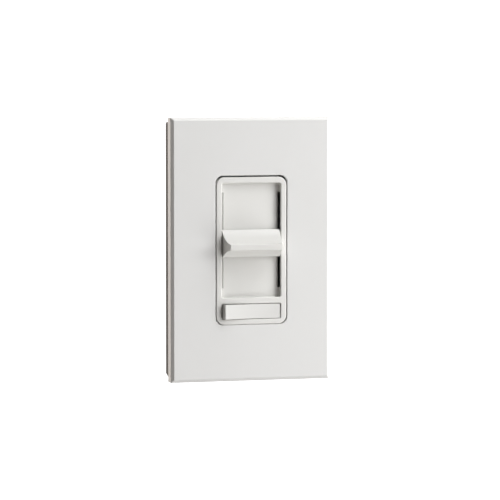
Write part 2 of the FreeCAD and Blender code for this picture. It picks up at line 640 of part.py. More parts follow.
# --- strap and housing -------------------------------------------------------
def mounting_strap():
    """The metal strap: ears with slots, threaded holes, lever and rocker windows, earth tab."""
    strap = rounded_slab(STRAP_W / 2, STRAP_H / 2, STRAP_R, Y_STRAP, 0.0)
    for side in (-1, 1):
        strap = strap.cut(rounded_slab(SLOT_HALF_W, SLOT_HALF_H, SLOT_HALF_H - 0.01, Y_STRAP - 1, 1.0,
                                       0, side * BOX_SCREW_SPACING / 2))
        strap = strap.cut(rod_y(SCREW_R + 0.05, 0, side * PLATE_SCREW_SPACING / 2, Y_STRAP - 1, 1.0))
        for x in (-PEG_X, PEG_X):
            strap = strap.cut(rod_y(PEG_R + 0.05, x, side * (BEZEL_Z - PEG_INSET), Y_STRAP - 1, 1.0))
        for x in (-BOSS_X, BOSS_X):
            strap = strap.cut(rod_y(HOUSING_SCREW_R + 0.05, x, side * BOSS_Z, Y_STRAP - 1, 1.0))
    lever_half = TRAVEL / 2 + LEVER_W / 2 + 1.0
    strap = strap.cut(rounded_slab(LEVER_T / 2 + 0.9, lever_half, LEVER_T / 2 + 0.8, Y_STRAP - 1, 1.0,
                                   0, WINDOW_Z))
    strap = strap.cut(box(-STEM_R - 2.0, STEM_R + 2.0, Y_STRAP - 1, 1.0, POCKET_BOTTOM, POCKET_TOP))
    rivet_z = TRIAC_Z + TRIAC_BODY_H + TRIAC_TAB_H / 2
    strap = strap.cut(rod_y(RIVET_R + 0.05, TRIAC_X, rivet_z, Y_STRAP - 1, 1.0))
    edge = -STRAP_W / 2
    tab = box(edge, edge + GROUND_TAB_T, Y_STRAP, GROUND_TAB_L,
              GROUND_TAB_Z - GROUND_TAB_W / 2, GROUND_TAB_Z + GROUND_TAB_W / 2)
    strap = joined(strap, tab)
    return strap.cut(rod(SCREW_R + 0.05, V(edge - 1, GROUND_TAB_L / 2 + 0.4, GROUND_TAB_Z),
                         V(edge + GROUND_TAB_T + 1, GROUND_TAB_L / 2 + 0.4, GROUND_TAB_Z)))


def rear_housing():
    """The back shell: open to the strap, four screw bosses, slots for the terminals."""
    shell = rounded_slab(HOUSING_X, HOUSING_Z, HOUSING_R, 0.0, HOUSING_D)
    shell = shell.makeFillet(1.0, edges_where(shell, lambda p: abs(p.y - HOUSING_D) < 1e-6))
    shell = shell.cut(rounded_slab(INNER_X, INNER_Z, 1.0, -1.0, Y_INSIDE))
    bosses = [rod_y(BOSS_R, x, side * BOSS_Z, 0.0, Y_INSIDE + 0.5)
              for x in (-BOSS_X, BOSS_X) for side in (-1, 1)]
    shell = joined(shell, *bosses)
    head_y = HOUSING_D - HOUSING_HEAD_SUNK - HOUSING_HEAD_H
    for x in (-BOSS_X, BOSS_X):
        for side in (-1, 1):
            shell = shell.cut(rod_y(HOUSING_SCREW_R + 0.1, x, side * BOSS_Z, -1.0, HOUSING_D + 1))
            shell = shell.cut(rod_y(HOUSING_HEAD_R + 0.2, x, side * BOSS_Z, head_y, HOUSING_D + 1))
    for side in (-1, 1):
        shell = shell.cut(terminal_slot(side))
        shell = shell.cut(rod(TERMINAL_HOLE_R, V(side * (INNER_X - 1), TERMINAL_Y, TERMINAL_Z),
                              V(side * (HOUSING_X + 1), TERMINAL_Y, TERMINAL_Z)))
    return shell


def strip_y():
    """Front face of the flat contact strips, just behind the closed contact."""
    swing = math.radians(ARM_SWING)
    button = CONTACT_T + ARM_T - ARM_FACE
    closed = Y_ARM + CONTACT_X * math.sin(swing) + button * math.cos(swing)
    lean = CONTACT_R * math.sin(swing)
    return closed + lean + CONTACT_GAP + CONTACT_T


def strip_z():
    """Lowest and highest edge of the strips where they pass the housing wall."""
    low = -BOSS_Z + BOSS_R + 0.4
    return low, low + 3.4


def terminal_slot(side):
    """The slit in the housing's side wall that a strip passes through."""
    z0, z1 = strip_z()
    x0, x1 = sorted((side * (INNER_X - 0.5), side * (HOUSING_X + 1)))
    return box(x0, x1, strip_y() - 0.1, strip_y() + STRIP_T + 0.1, z0 - 0.1, z1 + 0.1)


def housing_screws():
    """Four long screws from the back, into the strap."""
    screws = []
    seat = HOUSING_D - HOUSING_HEAD_SUNK - HOUSING_HEAD_H
    for x in (-BOSS_X, BOSS_X):
        for side in (-1, 1):
            z = side * BOSS_Z
            head = rod_y(HOUSING_HEAD_R, x, z, seat, seat + HOUSING_HEAD_H)
            rim = edges_where(head, lambda p: abs(p.y - seat - HOUSING_HEAD_H) < 1e-6)
            head = head.makeFillet(0.4, rim)
            top = seat + HOUSING_HEAD_H
            for a, b in ((1.7, 0.35), (0.35, 1.7)):
                head = head.cut(box(x - a, x + a, top - 1.2, top + 1, z - b, z + b))
            shank = rod_y(HOUSING_SCREW_R, x, z, Y_STRAP + 0.1, seat)
            screws.append(joined(head, shank))
    return Part.makeCompound(screws)


def insulating_sheet():
    """The thin sheet on the strap's back, between the metal and the circuit."""
    half_x, half_z = INNER_X - 0.3, INNER_Z - 0.3
    sheet = rounded_slab(half_x, half_z, 1.0, 0.0, SHEET_T)
    for x in (-BOSS_X, BOSS_X):
        for side in (-1, 1):
            sheet = sheet.cut(rod_y(BOSS_R + 0.3, x, side * BOSS_Z, -1.0, 1.0))
            sheet = sheet.cut(box(min(x, x * 2), max(x, x * 2), -1, 1,
                                  min(side * BOSS_Z, side * BOSS_Z * 2), max(side * BOSS_Z, side * BOSS_Z * 2)))
    lever_half = TRAVEL / 2 + LEVER_W / 2 + 1.0
    sheet = sheet.cut(rounded_slab(LEVER_T / 2 + 0.9, lever_half, LEVER_T / 2 + 0.8, -1.0, 1.0, 0, WINDOW_Z))
    sheet = sheet.cut(box(-STEM_R - 2.0, STEM_R + 2.0, -1.0, 1.0, POCKET_BOTTOM, POCKET_TOP))
    margin = 0.5
    window_z1 = TRIAC_Z + TRIAC_BODY_H + TRIAC_TAB_H + margin
    return sheet.cut(box(TRIAC_X - TRIAC_W / 2 - margin, TRIAC_X + TRIAC_W / 2 + margin, -1.0, 1.0,
                         TRIAC_Z - margin, window_z1))


# --- control circuit ---------------------------------------------------------
def pot_cover():
    """The slide potentiometer's folded metal case, with the lever slot in front."""
    case = box(-POT_W / 2, POT_W / 2, POT_FRONT, Y_POT_BACK - TRACK_T, POT_Z0, POT_Z1)
    case = case.cut(box(POT_WALL - POT_W / 2, POT_W / 2 - POT_WALL, POT_FRONT + POT_WALL, Y_POT_BACK + 1,
                        POT_Z0 + POT_WALL, POT_Z1 - POT_WALL))
    lever_half = TRAVEL / 2 + LEVER_W / 2 + 0.8
    return case.cut(box(-LEVER_T / 2 - 0.3, LEVER_T / 2 + 0.3, POT_FRONT - 1, POT_FRONT + POT_WALL + 0.5,
                        WINDOW_Z - lever_half, WINDOW_Z + lever_half))


def pot_track():
    """The strip at the back of the case, with its two printed tracks."""
    strip = box(-POT_W / 2, POT_W / 2, Y_POT_BACK - TRACK_T, Y_POT_BACK, POT_Z0, POT_Z1)
    half = TRAVEL / 2 + LEVER_W / 2
    tracks = [box(x - 1.0, x + 1.0, Y_POT_BACK - TRACK_T - 0.1, Y_POT_BACK - TRACK_T,
                  WINDOW_Z - half, WINDOW_Z + half) for x in (-2.0, 2.0)]
    body = joined(strip, *tracks)
    for x, z in pot_pins():
        body = body.cut(rod_y(PIN_R, x, z, Y_POT_BACK - TRACK_T - 1, Y_POT_BACK + 1))
    return body


def pot_pins():
    """Places of the potentiometer's three pins."""
    inset = 1.6
    return [(-2.0, POT_Z0 + inset), (2.0, POT_Z0 + inset), (0.0, POT_Z1 - inset)]


def pot_terminals():
    """The three pins from the track through the board."""
    pins = [rod_y(PIN_R, x, z, Y_POT_BACK - TRACK_T, Y_BOARD_BACK + 1.2) for x, z in pot_pins()]
    return Part.makeCompound(pins)


def lead_holes():
    """Places where component leads pass through the board."""
    places = list(pot_pins())
    places += [(TRIAC_X + dx, TRIAC_Z - 3.2) for dx in (-2.54, 0.0, 2.54)]
    places += [(CAP_X + dx, z + CAP_T / 2) for dx in (-5.0, 5.0) for z in CAP_Z]
    places += [(RESISTOR_X + side * axial_reach(RESISTOR_L), z) for side in (-1, 1) for z in RESISTOR_Z]
    places += [(DIAC_X + side * axial_reach(DIAC_L), DIAC_Z) for side in (-1, 1)]
    return places


def axial_reach(length):
    """Half the distance between the two holes of an axial component."""
    return length / 2 + 1.8


def circuit_board():
    """The board behind the potentiometer, notched around the upper bosses."""
    board = box(-BOARD_X, BOARD_X, Y_BOARD, Y_BOARD_BACK, BOARD_Z0, BOARD_Z1)
    for x in (-BOSS_X, BOSS_X):
        notch = BOSS_R + 0.4
        board = board.cut(box(x - notch, x + notch, Y_BOARD - 1, Y_BOARD_BACK + 1,
                              BOSS_Z - notch, BOARD_Z1 + 1))
        edge = math.copysign(HOUSING_W, x)
        board = board.cut(box(min(x, edge), max(x, edge), Y_BOARD - 1, Y_BOARD_BACK + 1,
                              BOSS_Z - notch, BOARD_Z1 + 1))
    for x, z in lead_holes():
        board = board.cut(rod_y(PIN_R + 0.05, x, z, Y_BOARD - 1, Y_BOARD_BACK + 1))
    return board


def triac():
    """The power device: tab flat on the strap, moulded body, three cranked legs."""
    x0, x1 = TRIAC_X - TRIAC_W / 2, TRIAC_X + TRIAC_W / 2
    body_top = TRIAC_Z + TRIAC_BODY_H
    body = box(x0, x1, 0.0, TRIAC_BODY_T, TRIAC_Z, body_top)
    tab = box(x0, x1, 0.0, TRIAC_TAB_T, body_top, body_top + TRIAC_TAB_H)
    tab = tab.cut(rod_y(RIVET_R + 0.05, TRIAC_X, body_top + TRIAC_TAB_H / 2, -1.0, 3.0))
    pieces = [tab]
    leg_y = TRIAC_BODY_T / 2
    for dx in (-2.54, 0.0, 2.54):
        x = TRIAC_X + dx
        z = TRIAC_Z - 3.2
        pieces.append(box(x - 0.3, x + 0.3, leg_y - 0.25, leg_y + 0.25, z - 0.25, TRIAC_Z))
        pieces.append(box(x - 0.28, x + 0.28, leg_y - 0.25, Y_BOARD_BACK + 1.0, z - 0.25, z + 0.25))
    return joined(body, *pieces)


def triac_rivet():
    """The rivet that clamps the tab to the strap."""
    z = TRIAC_Z + TRIAC_BODY_H + TRIAC_TAB_H / 2
    shank = rod_y(RIVET_R, TRIAC_X, z, Y_STRAP, TRIAC_TAB_T)
    front = rod_y(RIVET_R + 1.1, TRIAC_X, z, Y_STRAP - 0.6, Y_STRAP)
    back = rod_y(RIVET_R + 0.9, TRIAC_X, z, TRIAC_TAB_T, TRIAC_TAB_T + 0.9)
    front = front.makeFillet(0.4, edges_where(front, lambda p: p.y < Y_STRAP - 0.5))
    back = back.makeFillet(0.6, edges_where(back, lambda p: p.y > TRIAC_TAB_T + 0.8))
    return joined(shank, front, back)


def choke_front():
    """Front face of the choke's core, clear of the board by one layer of wire."""
    return Y_BOARD_BACK + 0.3 + 2 * WIRE_R + 0.1


def choke_core():
    """The ring core, flat behind the board."""
    y0 = choke_front()
    ring = rod_y(CHOKE_R_OUT, CHOKE_X, CHOKE_Z, y0, y0 + CHOKE_T)
    ring = ring.cut(rod_y(CHOKE_R_IN, CHOKE_X, CHOKE_Z, y0 - 1, y0 + CHOKE_T + 1))
    return ring.makeFillet(0.6, ring.Edges)


def choke_winding():
    """Closed turns of wire round the ring, spread over most of its circle."""
    y0 = choke_front()
    clear = WIRE_R + 0.05
    half_r = (CHOKE_R_OUT - CHOKE_R_IN) / 2 + clear
    half_y = CHOKE_T / 2 + clear
    middle_r = (CHOKE_R_OUT + CHOKE_R_IN) / 2
    corner = 0.6 + clear
    turns = []
    for i in range(CHOKE_TURNS):
        path = rounded_outline(half_r, half_y, corner, 0.0)
        start = V(half_r, 0, 0)
        profile = Part.Wire(Part.makeCircle(WIRE_R, start, V(0, 0, 1)))
        turn = path.makePipeShell([profile], True, True)
        turn.rotate(V(0, 0, 0), V(1, 0, 0), 90)
        turn.translate(V(middle_r, 0, 0))
        turn.rotate(V(0, 0, 0), V(0, 1, 0), 20 + 320.0 * i / (CHOKE_TURNS - 1))
        turn.translate(V(CHOKE_X, y0 + CHOKE_T / 2, CHOKE_Z))
        turns.append(turn)
    return Part.makeCompound(turns)


def film_capacitors():
    """Two boxed film capacitors on short leads."""
    caps = []
    y0 = Y_BOARD_BACK + 0.3
    for z in CAP_Z:
        can = box(CAP_X - CAP_W / 2, CAP_X + CAP_W / 2, y0, y0 + CAP_H, z, z + CAP_T)
        can = can.makeFillet(0.8, can.Edges)
        leads = [rod_y(PIN_R, CAP_X + dx, z + CAP_T / 2, Y_BOARD, y0 + 1.0) for dx in (-5.0, 5.0)]
        caps.append(joined(can, *leads))
    return Part.makeCompound(caps)


def axial_component(x, z, length, radius):
    """A lying cylinder with two leads bent into the board."""
    y = Y_BOARD_BACK + 0.4 + radius
    reach = axial_reach(length)
    body = rod(radius, V(x - length / 2, y, z), V(x + length / 2, y, z))
    body = body.makeFillet(radius * 0.35, body.Edges[:1] + body.Edges[2:3])
    wire = rod(PIN_R * 0.8, V(x - reach - PIN_R * 0.8, y, z), V(x + reach + PIN_R * 0.8, y, z))
    legs = [rod_y(PIN_R * 0.8, x + side * reach, z, Y_BOARD, y) for side in (-1, 1)]
    return joined(body, wire, *legs)


def resistors():
    return Part.makeCompound([axial_component(RESISTOR_X, z, RESISTOR_L, RESISTOR_R) for z in RESISTOR_Z])


def trigger_diac():
    return axial_component(DIAC_X, DIAC_Z, DIAC_L, DIAC_R)


# --- switch and terminals ----------------------------------------------------
def swung(shape):
    """Turn a contact-arm piece from level to its stored pose."""
    shape.rotate(V(0, Y_ARM, ROCKER_Z), V(0, 0, 1), -ARM_SWING)
    return shape


def contact_arm():
    """The see-saw: a flat blade with two ears on the pivot pin."""
    front = Y_ARM - ARM_FACE
    blade = box(-ARM_HALF, ARM_HALF, front, front + ARM_T, ROCKER_Z - ARM_W / 2, ROCKER_Z + ARM_W / 2)
    upright = [e for e in blade.Edges if abs(e.Vertexes[0].Point.y - e.Vertexes[-1].Point.y) > 0.5]
    blade = blade.makeFillet(1.2, upright)
    ears = []
    for side in (-1, 1):
        z_out = ROCKER_Z + side * ARM_W / 2
        z_in = z_out - side * 0.8
        low, high = min(z_out, z_in), max(z_out, z_in)
        ears.append(box(-2.0, 2.0, front, Y_ARM, low, high))
        ears.append(rod(2.0, V(0, Y_ARM, low), V(0, Y_ARM, high)))
    arm = joined(blade, *ears)
    arm = arm.cut(rod(ARM_PIN_R + RUNNING_GAP, V(0, Y_ARM, ROCKER_Z - ARM_W), V(0, Y_ARM, ROCKER_Z + ARM_W)))
    back = front + ARM_T
    hole = rod_y(0.8, -CONTACT_X, ROCKER_Z, front - 1, back + 1)
    return swung(arm.cut(hole))


def moving_contact():
    """The silver button riveted through the arm's live end."""
    back = Y_ARM - ARM_FACE + ARM_T
    button = rod_y(CONTACT_R, -CONTACT_X, ROCKER_Z, back, back + CONTACT_T)
    button = button.makeFillet(0.25, edges_where(button, lambda p: p.y > back + CONTACT_T - 0.01))
    shank = rod_y(0.8, -CONTACT_X, ROCKER_Z, back - ARM_T, back)
    return swung(joined(button, shank))


def contact_pivot_pin():
    """The pin through the common terminal's ears and the arm's ears."""
    reach = ARM_W / 2 + 0.3 + STRIP_T + 0.3
    return rod(ARM_PIN_R, V(0, Y_ARM, ROCKER_Z - reach), V(0, Y_ARM, ROCKER_Z + reach))


def common_terminal():
    """The bracket that holds the pivot pin and joins it to the load terminal."""
    inner = ARM_W / 2 + 0.3
    outer = inner + STRIP_T
    floor = strip_y() + STRIP_T + 0.6
    base = box(-2.2, 2.2, floor, floor + STRIP_T, ROCKER_Z - outer, ROCKER_Z + outer)
    pieces = []
    for side in (-1, 1):
        low, high = sorted((ROCKER_Z + side * inner, ROCKER_Z + side * outer))
        pieces.append(box(-2.2, 2.2, Y_ARM, floor + STRIP_T, low, high))
        pieces.append(rod(2.2, V(0, Y_ARM, low), V(0, Y_ARM, high)))
    bracket = joined(base, *pieces)
    bracket = bracket.cut(rod(ARM_PIN_R, V(0, Y_ARM, ROCKER_Z - outer - 1), V(0, Y_ARM, ROCKER_Z + outer + 1)))
    post = box(-2.2, 2.2, floor + STRIP_T, Y_INSIDE, ROCKER_Z - 1.0, ROCKER_Z + 1.0)
    return joined(bracket, post)


def side_terminal(side, inner_end, low_end):
    """A flat strip through the housing's side wall, folded into a plate for a screw."""
    z0, z1 = strip_z()
    y0 = strip_y()
    out = HOUSING_X + 0.05
    xs = sorted((side * inner_end, side * (out + STRIP_T)))
    strip = box(xs[0], xs[1], y0, y0 + STRIP_T, z0, z1)
    plate_x = sorted((side * out, side * (out + STRIP_T)))
    top = TERMINAL_Z + TERMINAL_H / 2
    middle = TERMINAL_Y
    plate = box(plate_x[0], plate_x[1], middle - TERMINAL_D / 2, middle + TERMINAL_D / 2,
                z0, top)
    pieces = [plate]
    if low_end is not None:
        xs = sorted((side * inner_end, side * (inner_end + 4.6)))
        pieces.append(box(xs[0], xs[1], y0, y0 + STRIP_T, low_end, z1))
    body = joined(strip, *pieces)
    return body.cut(rod(SCREW_R + 0.05, V(side * (HOUSING_X - 1), middle, TERMINAL_Z),
                        V(side * (HOUSING_X + 3), middle, TERMINAL_Z)))


def line_terminal():
    """The left terminal, whose strip ends under the fixed contact."""
    strip = side_terminal(-1, CONTACT_X - 2.3, ROCKER_Z - 2.3)
    return strip.cut(rod_y(0.8, -CONTACT_X, ROCKER_Z, strip_y() - 1, strip_y() + STRIP_T + 1))


def load_terminal():
    """The right terminal, whose strip rises to the board's edge."""
    return side_terminal(1, INNER_X - 5.0, None)


def fixed_contact():
    """The silver button that the arm closes on."""
    y = strip_y()
    button = rod_y(CONTACT_R, -CONTACT_X, ROCKER_Z, y - CONTACT_T, y)
    button = button.makeFillet(0.25, edges_where(button, lambda p: p.y < y - CONTACT_T + 0.01))
    return joined(button, rod_y(0.8, -CONTACT_X, ROCKER_Z, y, y + STRIP_T))


def side_screw(x_seat, side, y, z, reach):
    """A binding-head screw whose head faces sideways."""
    head = rod(TERMINAL_HEAD_R, V(x_seat, y, z), V(x_seat + side * TERMINAL_HEAD_H, y, z))
    outer = x_seat + side * TERMINAL_HEAD_H
    head = head.makeFillet(0.5, edges_where(head, lambda p: abs(p.x - outer) < 1e-6))
    xs = sorted((outer, outer - side * 1.0))
    head = head.cut(box(xs[0], xs[1], y - 5, y + 5, z - 0.5, z + 0.5))
    shank = rod(SCREW_R, V(x_seat, y, z), V(x_seat - side * reach, y, z))
    return joined(head, shank)


def terminal_screws():
    """One brass screw for each side terminal."""
    seat = HOUSING_X + 0.05 + STRIP_T
    return Part.makeCompound([side_screw(side * seat, side, TERMINAL_Y, TERMINAL_Z, 4.0)
                              for side in (-1, 1)])


def ground_screw():
    """The green screw in the strap's tab."""
    return side_screw(-STRAP_W / 2, -1, GROUND_TAB_L / 2 + 0.4, GROUND_TAB_Z, 5.0)


NODES = {
    "wall_plate": wall_plate,
    "plate_adapter": plate_adapter,
    "adapter_screws": lambda: machine_screws(PLATE_SCREW_SPACING, Y_ADAPTER, Y_STRAP, PLATE_SCREW_REACH),
    "bezel_frame": bezel_frame,
    "mounting_strap": mounting_strap,
    "box_screws": lambda: machine_screws(BOX_SCREW_SPACING, Y_STRAP, 0.0, BOX_SCREW_REACH),
    "rear_housing": rear_housing,
    "housing_screws": housing_screws,
    "insulating_sheet": insulating_sheet,
    "pot_cover": pot_cover,
    "pot_track": pot_track,
    "pot_terminals": pot_terminals,
    "circuit_board": circuit_board,
    "triac": triac,
    "triac_rivet": triac_rivet,
    "choke_core": choke_core,
    "choke_winding": choke_winding,
    "film_capacitors": film_capacitors,
    "resistors": resistors,
    "trigger_diac": trigger_diac,
    "line_terminal": line_terminal,
    "load_terminal": load_terminal,
    "common_terminal": common_terminal,
    "fixed_contact": fixed_contact,
    "contact_pivot_pin": contact_pivot_pin,
    "terminal_screws": terminal_screws,
    "ground_screw": ground_screw,
    "slider_knob": slider_knob,
    "slider_carriage": slider_carriage,
    "carriage_springs": carriage_springs,
    "pot_lever": pot_lever,
    "pot_wiper": pot_wiper,
    "rocker_button": rocker_button,
    "rocker_plunger": rocker_plunger,
    "plunger_spring": plunger_spring,
    "contact_arm": contact_arm,
    "moving_contact": moving_contact,
}


def main():
    os.makedirs("parts", exist_ok=True)
    for node, make in NODES.items():
        export(make(), node)
    down = -TRAVEL / 2 - KNOB_REST
    up = TRAVEL / 2 - KNOB_REST
    print("slider travel from rest", round(down, 3), round(up, 3))
    print("rocker pivot", 0.0, round(Y_PIVOT, 3), round(ROCKER_Z, 3), "swing", -2 * ROCKER_V)
    print("arm pivot", 0.0, round(Y_ARM, 3), round(ROCKER_Z, 3), "ratio", round(ARM_COUPLING, 5))
    print("contact strips", round(strip_y(), 3))


main()
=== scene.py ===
"""The looks of the slide dimmer: finishes, finer meshes, light and camera.

Every length is in metres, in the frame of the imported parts. X runs to the right,
Y into the wall and Z up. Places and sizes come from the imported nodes.
"""
from __future__ import annotations

import logging
import math
from dataclasses import dataclass
from enum import Enum
from typing import Any, Iterable, Sequence

import bmesh
import bpy
from mathutils import Matrix, Vector


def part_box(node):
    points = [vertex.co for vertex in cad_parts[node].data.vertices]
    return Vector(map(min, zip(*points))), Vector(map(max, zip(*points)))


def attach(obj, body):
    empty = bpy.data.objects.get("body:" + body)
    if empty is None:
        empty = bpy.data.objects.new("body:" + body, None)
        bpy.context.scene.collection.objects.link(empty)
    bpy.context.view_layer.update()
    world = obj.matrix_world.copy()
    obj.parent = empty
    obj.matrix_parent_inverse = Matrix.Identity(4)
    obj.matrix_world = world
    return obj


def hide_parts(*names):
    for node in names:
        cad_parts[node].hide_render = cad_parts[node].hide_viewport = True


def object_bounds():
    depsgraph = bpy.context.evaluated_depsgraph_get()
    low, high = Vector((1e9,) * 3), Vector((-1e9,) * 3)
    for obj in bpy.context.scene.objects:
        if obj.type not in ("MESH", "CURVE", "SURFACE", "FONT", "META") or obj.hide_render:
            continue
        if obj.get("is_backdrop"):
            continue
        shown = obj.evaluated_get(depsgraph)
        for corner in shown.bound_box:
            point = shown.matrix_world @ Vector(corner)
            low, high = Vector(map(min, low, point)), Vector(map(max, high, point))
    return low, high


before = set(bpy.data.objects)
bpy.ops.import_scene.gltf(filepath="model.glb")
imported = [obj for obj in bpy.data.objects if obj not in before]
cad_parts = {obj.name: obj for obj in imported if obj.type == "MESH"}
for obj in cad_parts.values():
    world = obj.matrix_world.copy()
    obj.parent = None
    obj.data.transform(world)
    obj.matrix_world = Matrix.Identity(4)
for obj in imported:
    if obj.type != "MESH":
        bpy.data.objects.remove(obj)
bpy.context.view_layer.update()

LOG = logging.getLogger("dimmer")
MM = 0.001
Colour = tuple[float, float, float]
Point = tuple[float, float, float]
Item = bpy.types.Object
Mesh = bpy.types.Mesh
Material = bpy.types.Material
Node = bpy.types.Node
Socket = bpy.types.NodeSocket
Tree = bpy.types.NodeTree
FLOAT, VECTOR, COLOUR = "NodeSocketFloat", "NodeSocketVector", "NodeSocketColor"
OBJECT, MATERIAL, WHOLE = "NodeSocketObject", "NodeSocketMaterial", "NodeSocketInt"
KIND_BY_LENGTH = {1: FLOAT, 3: VECTOR, 4: COLOUR}


class Body(str, Enum):
    """The bodies that pieces ride on."""

    BASE = "base"
    SLIDER = "slider"
    ROCKER = "rocker"
    ARM = "contact_arm"


class Axis(Enum):
    """The direction of a metal's rolling or brushing marks."""

    X = (1.0, 0.0, 0.0)
    Y = (0.0, 1.0, 0.0)
    Z = (0.0, 0.0, 1.0)


class Drive(Enum):
    """The recess in a screw's head."""

    SLOT = "slot"
    CROSS = "cross"
    COMBINED = "combined"


# --- small helpers for node trees and meshes ----------------------------------
class Graph:
    """A thin wrapper that adds and links nodes in one tree."""

    def __init__(self, tree: Tree) -> None:
        """Keep the shader or geometry tree to build in."""
        self.tree = tree

    def add(self, kind: str, inputs: dict[Any, Any] | None = None, **settings: Any) -> Node:
        """Add a node, set its options, then fill or link its inputs.

        Args:
            kind: the node's type name.
            inputs: input name or index to a value or to an output socket.
            settings: attributes of the node itself.

        Returns:
            The new node.
        """
        node = self.tree.nodes.new(kind)
        for key, value in settings.items():
            setattr(node, key, value)
        for key, value in (inputs or {}).items():
            if isinstance(value, Socket):
                self.tree.links.new(value, node.inputs[key])
            else:
                node.inputs[key].default_value = value
        return node

    def out(self, kind: str, inputs: dict[Any, Any] | None = None, **settings: Any) -> Socket:
        """Add a node in the same way and return its first output."""
        return self.add(kind, inputs, **settings).outputs[0]

    def math(self, operation: str, *values: Any, clamp: bool = False) -> Socket:
        """Add a Math node over numbers or sockets, its result held between 0 and 1 if wanted."""
        return self.out("ShaderNodeMath", dict(enumerate(values)), operation=operation, use_clamp=clamp)

    def vector(self, operation: str, *values: Any) -> Socket:
        """Add a Vector Math node and return its vector socket."""
        return self.out("ShaderNodeVectorMath", dict(enumerate(values)), operation=operation)

    def point(self, x: Any = 0.0, y: Any = 0.0, z: Any = 0.0) -> Socket:
        """Combine three numbers or sockets into a vector."""
        return self.out("ShaderNodeCombineXYZ", {0: x, 1: y, 2: z})

    def noise(self, place: Socket, scale: Any, detail: float, roughness: float = 0.5) -> Socket:
        """Add a Noise Texture and return its value's socket."""
        inputs = {"Vector": place, "Scale": scale, "Detail": detail, "Roughness": roughness}
        return self.out("ShaderNodeTexNoise", inputs)

    def spread(self, value: Any, low: float, high: float, first: float = 0.0, last: float = 1.0) -> Socket:
        """Map a range smoothly onto another and return the result's socket."""
        inputs = {0: value, 1: low, 2: high, 3: first, 4: last}
        return self.out("ShaderNodeMapRange", inputs, interpolation_type="SMOOTHSTEP")


def open_group(name: str, **inputs: Any) -> tuple[Graph, Any]:
    """Start a shader group.

    Args:
        name: the group's name.
        inputs: each input's default: a number, 3 for a vector, 4 for a colour, or None for a bare vector.

    Returns:
        The graph and its input node's outputs.
    """
    tree = bpy.data.node_groups.new(name, "ShaderNodeTree")
    for label, default in inputs.items():
        length = len(default) if isinstance(default, tuple) else 3 if default is None else 1
        socket = tree.interface.new_socket(name=label, in_out="INPUT", socket_type=KIND_BY_LENGTH[length])
        if default is not None:
            socket.default_value = default
    graph = Graph(tree)
    return graph, graph.add("NodeGroupInput").outputs


def close_group(graph: Graph, **results: Socket) -> Tree:
    """End a shader group in named outputs.

    Args:
        graph: the group's graph.
        results: output name to the socket that feeds it.

    Returns:
        The group's tree.
    """
    for label, socket in results.items():
        kind = COLOUR if socket.type == "RGBA" else FLOAT
        graph.tree.interface.new_socket(name=label, in_out="OUTPUT", socket_type=kind)
    graph.add("NodeGroupOutput", results)
    return graph.tree


def rgba(colour: Colour) -> tuple[float, float, float, float]:
    """A colour with full alpha."""
    return (*colour, 1.0)


def piece_from(mesh: Mesh, name: str) -> Item:
    """Put a mesh in the scene.

    Args:
        mesh: the mesh.
        name: the object's name.

    Returns:
        The object, at the origin.
    """
    piece = bpy.data.objects.new(name, mesh)
    bpy.context.scene.collection.objects.link(piece)
    return piece


def soften(piece: Item, angle: float = 35.0) -> None:
    """Shade a piece smooth, with crease lines above an angle in degrees."""
    piece.data.shade_smooth()
    piece.data.set_sharp_from_angle(angle=math.radians(angle))


def level(piece: Item, angle: float = 35.0) -> None:
    """Shade a piece smooth but keep its broad faces level right up to their eased edges.

    Args:
        piece: a mesh object.
        angle: the crease angle in degrees.
    """
    soften(piece, angle)
    even = piece.modifiers.new("even", "WEIGHTED_NORMAL")
    even.keep_sharp = True
    even.weight = 80
    settle(piece)


def settle(piece: Item) -> Item:
    """Turn a piece with modifiers into a plain mesh object of the same name.

    Args:
        piece: the object whose modifiers are baked in.

    Returns:
        The same object, holding its evaluated mesh and no modifier.
    """
    graph = bpy.context.evaluated_depsgraph_get()
    graph.update()
    mesh = bpy.data.meshes.new_from_object(piece.evaluated_get(graph), depsgraph=graph)
    piece.modifiers.clear()
    piece.data = mesh
    mesh.name = piece.name
    return piece


class Library:
    """Node trees that are built once each, by the method of their name."""

    made: dict[str, Tree] = {}

    @classmethod
    def get(cls, name: str) -> Tree:
        """The named tree, built on first use."""
        if name not in cls.made:
            cls.made[name] = getattr(cls, name)()
        return cls.made[name]


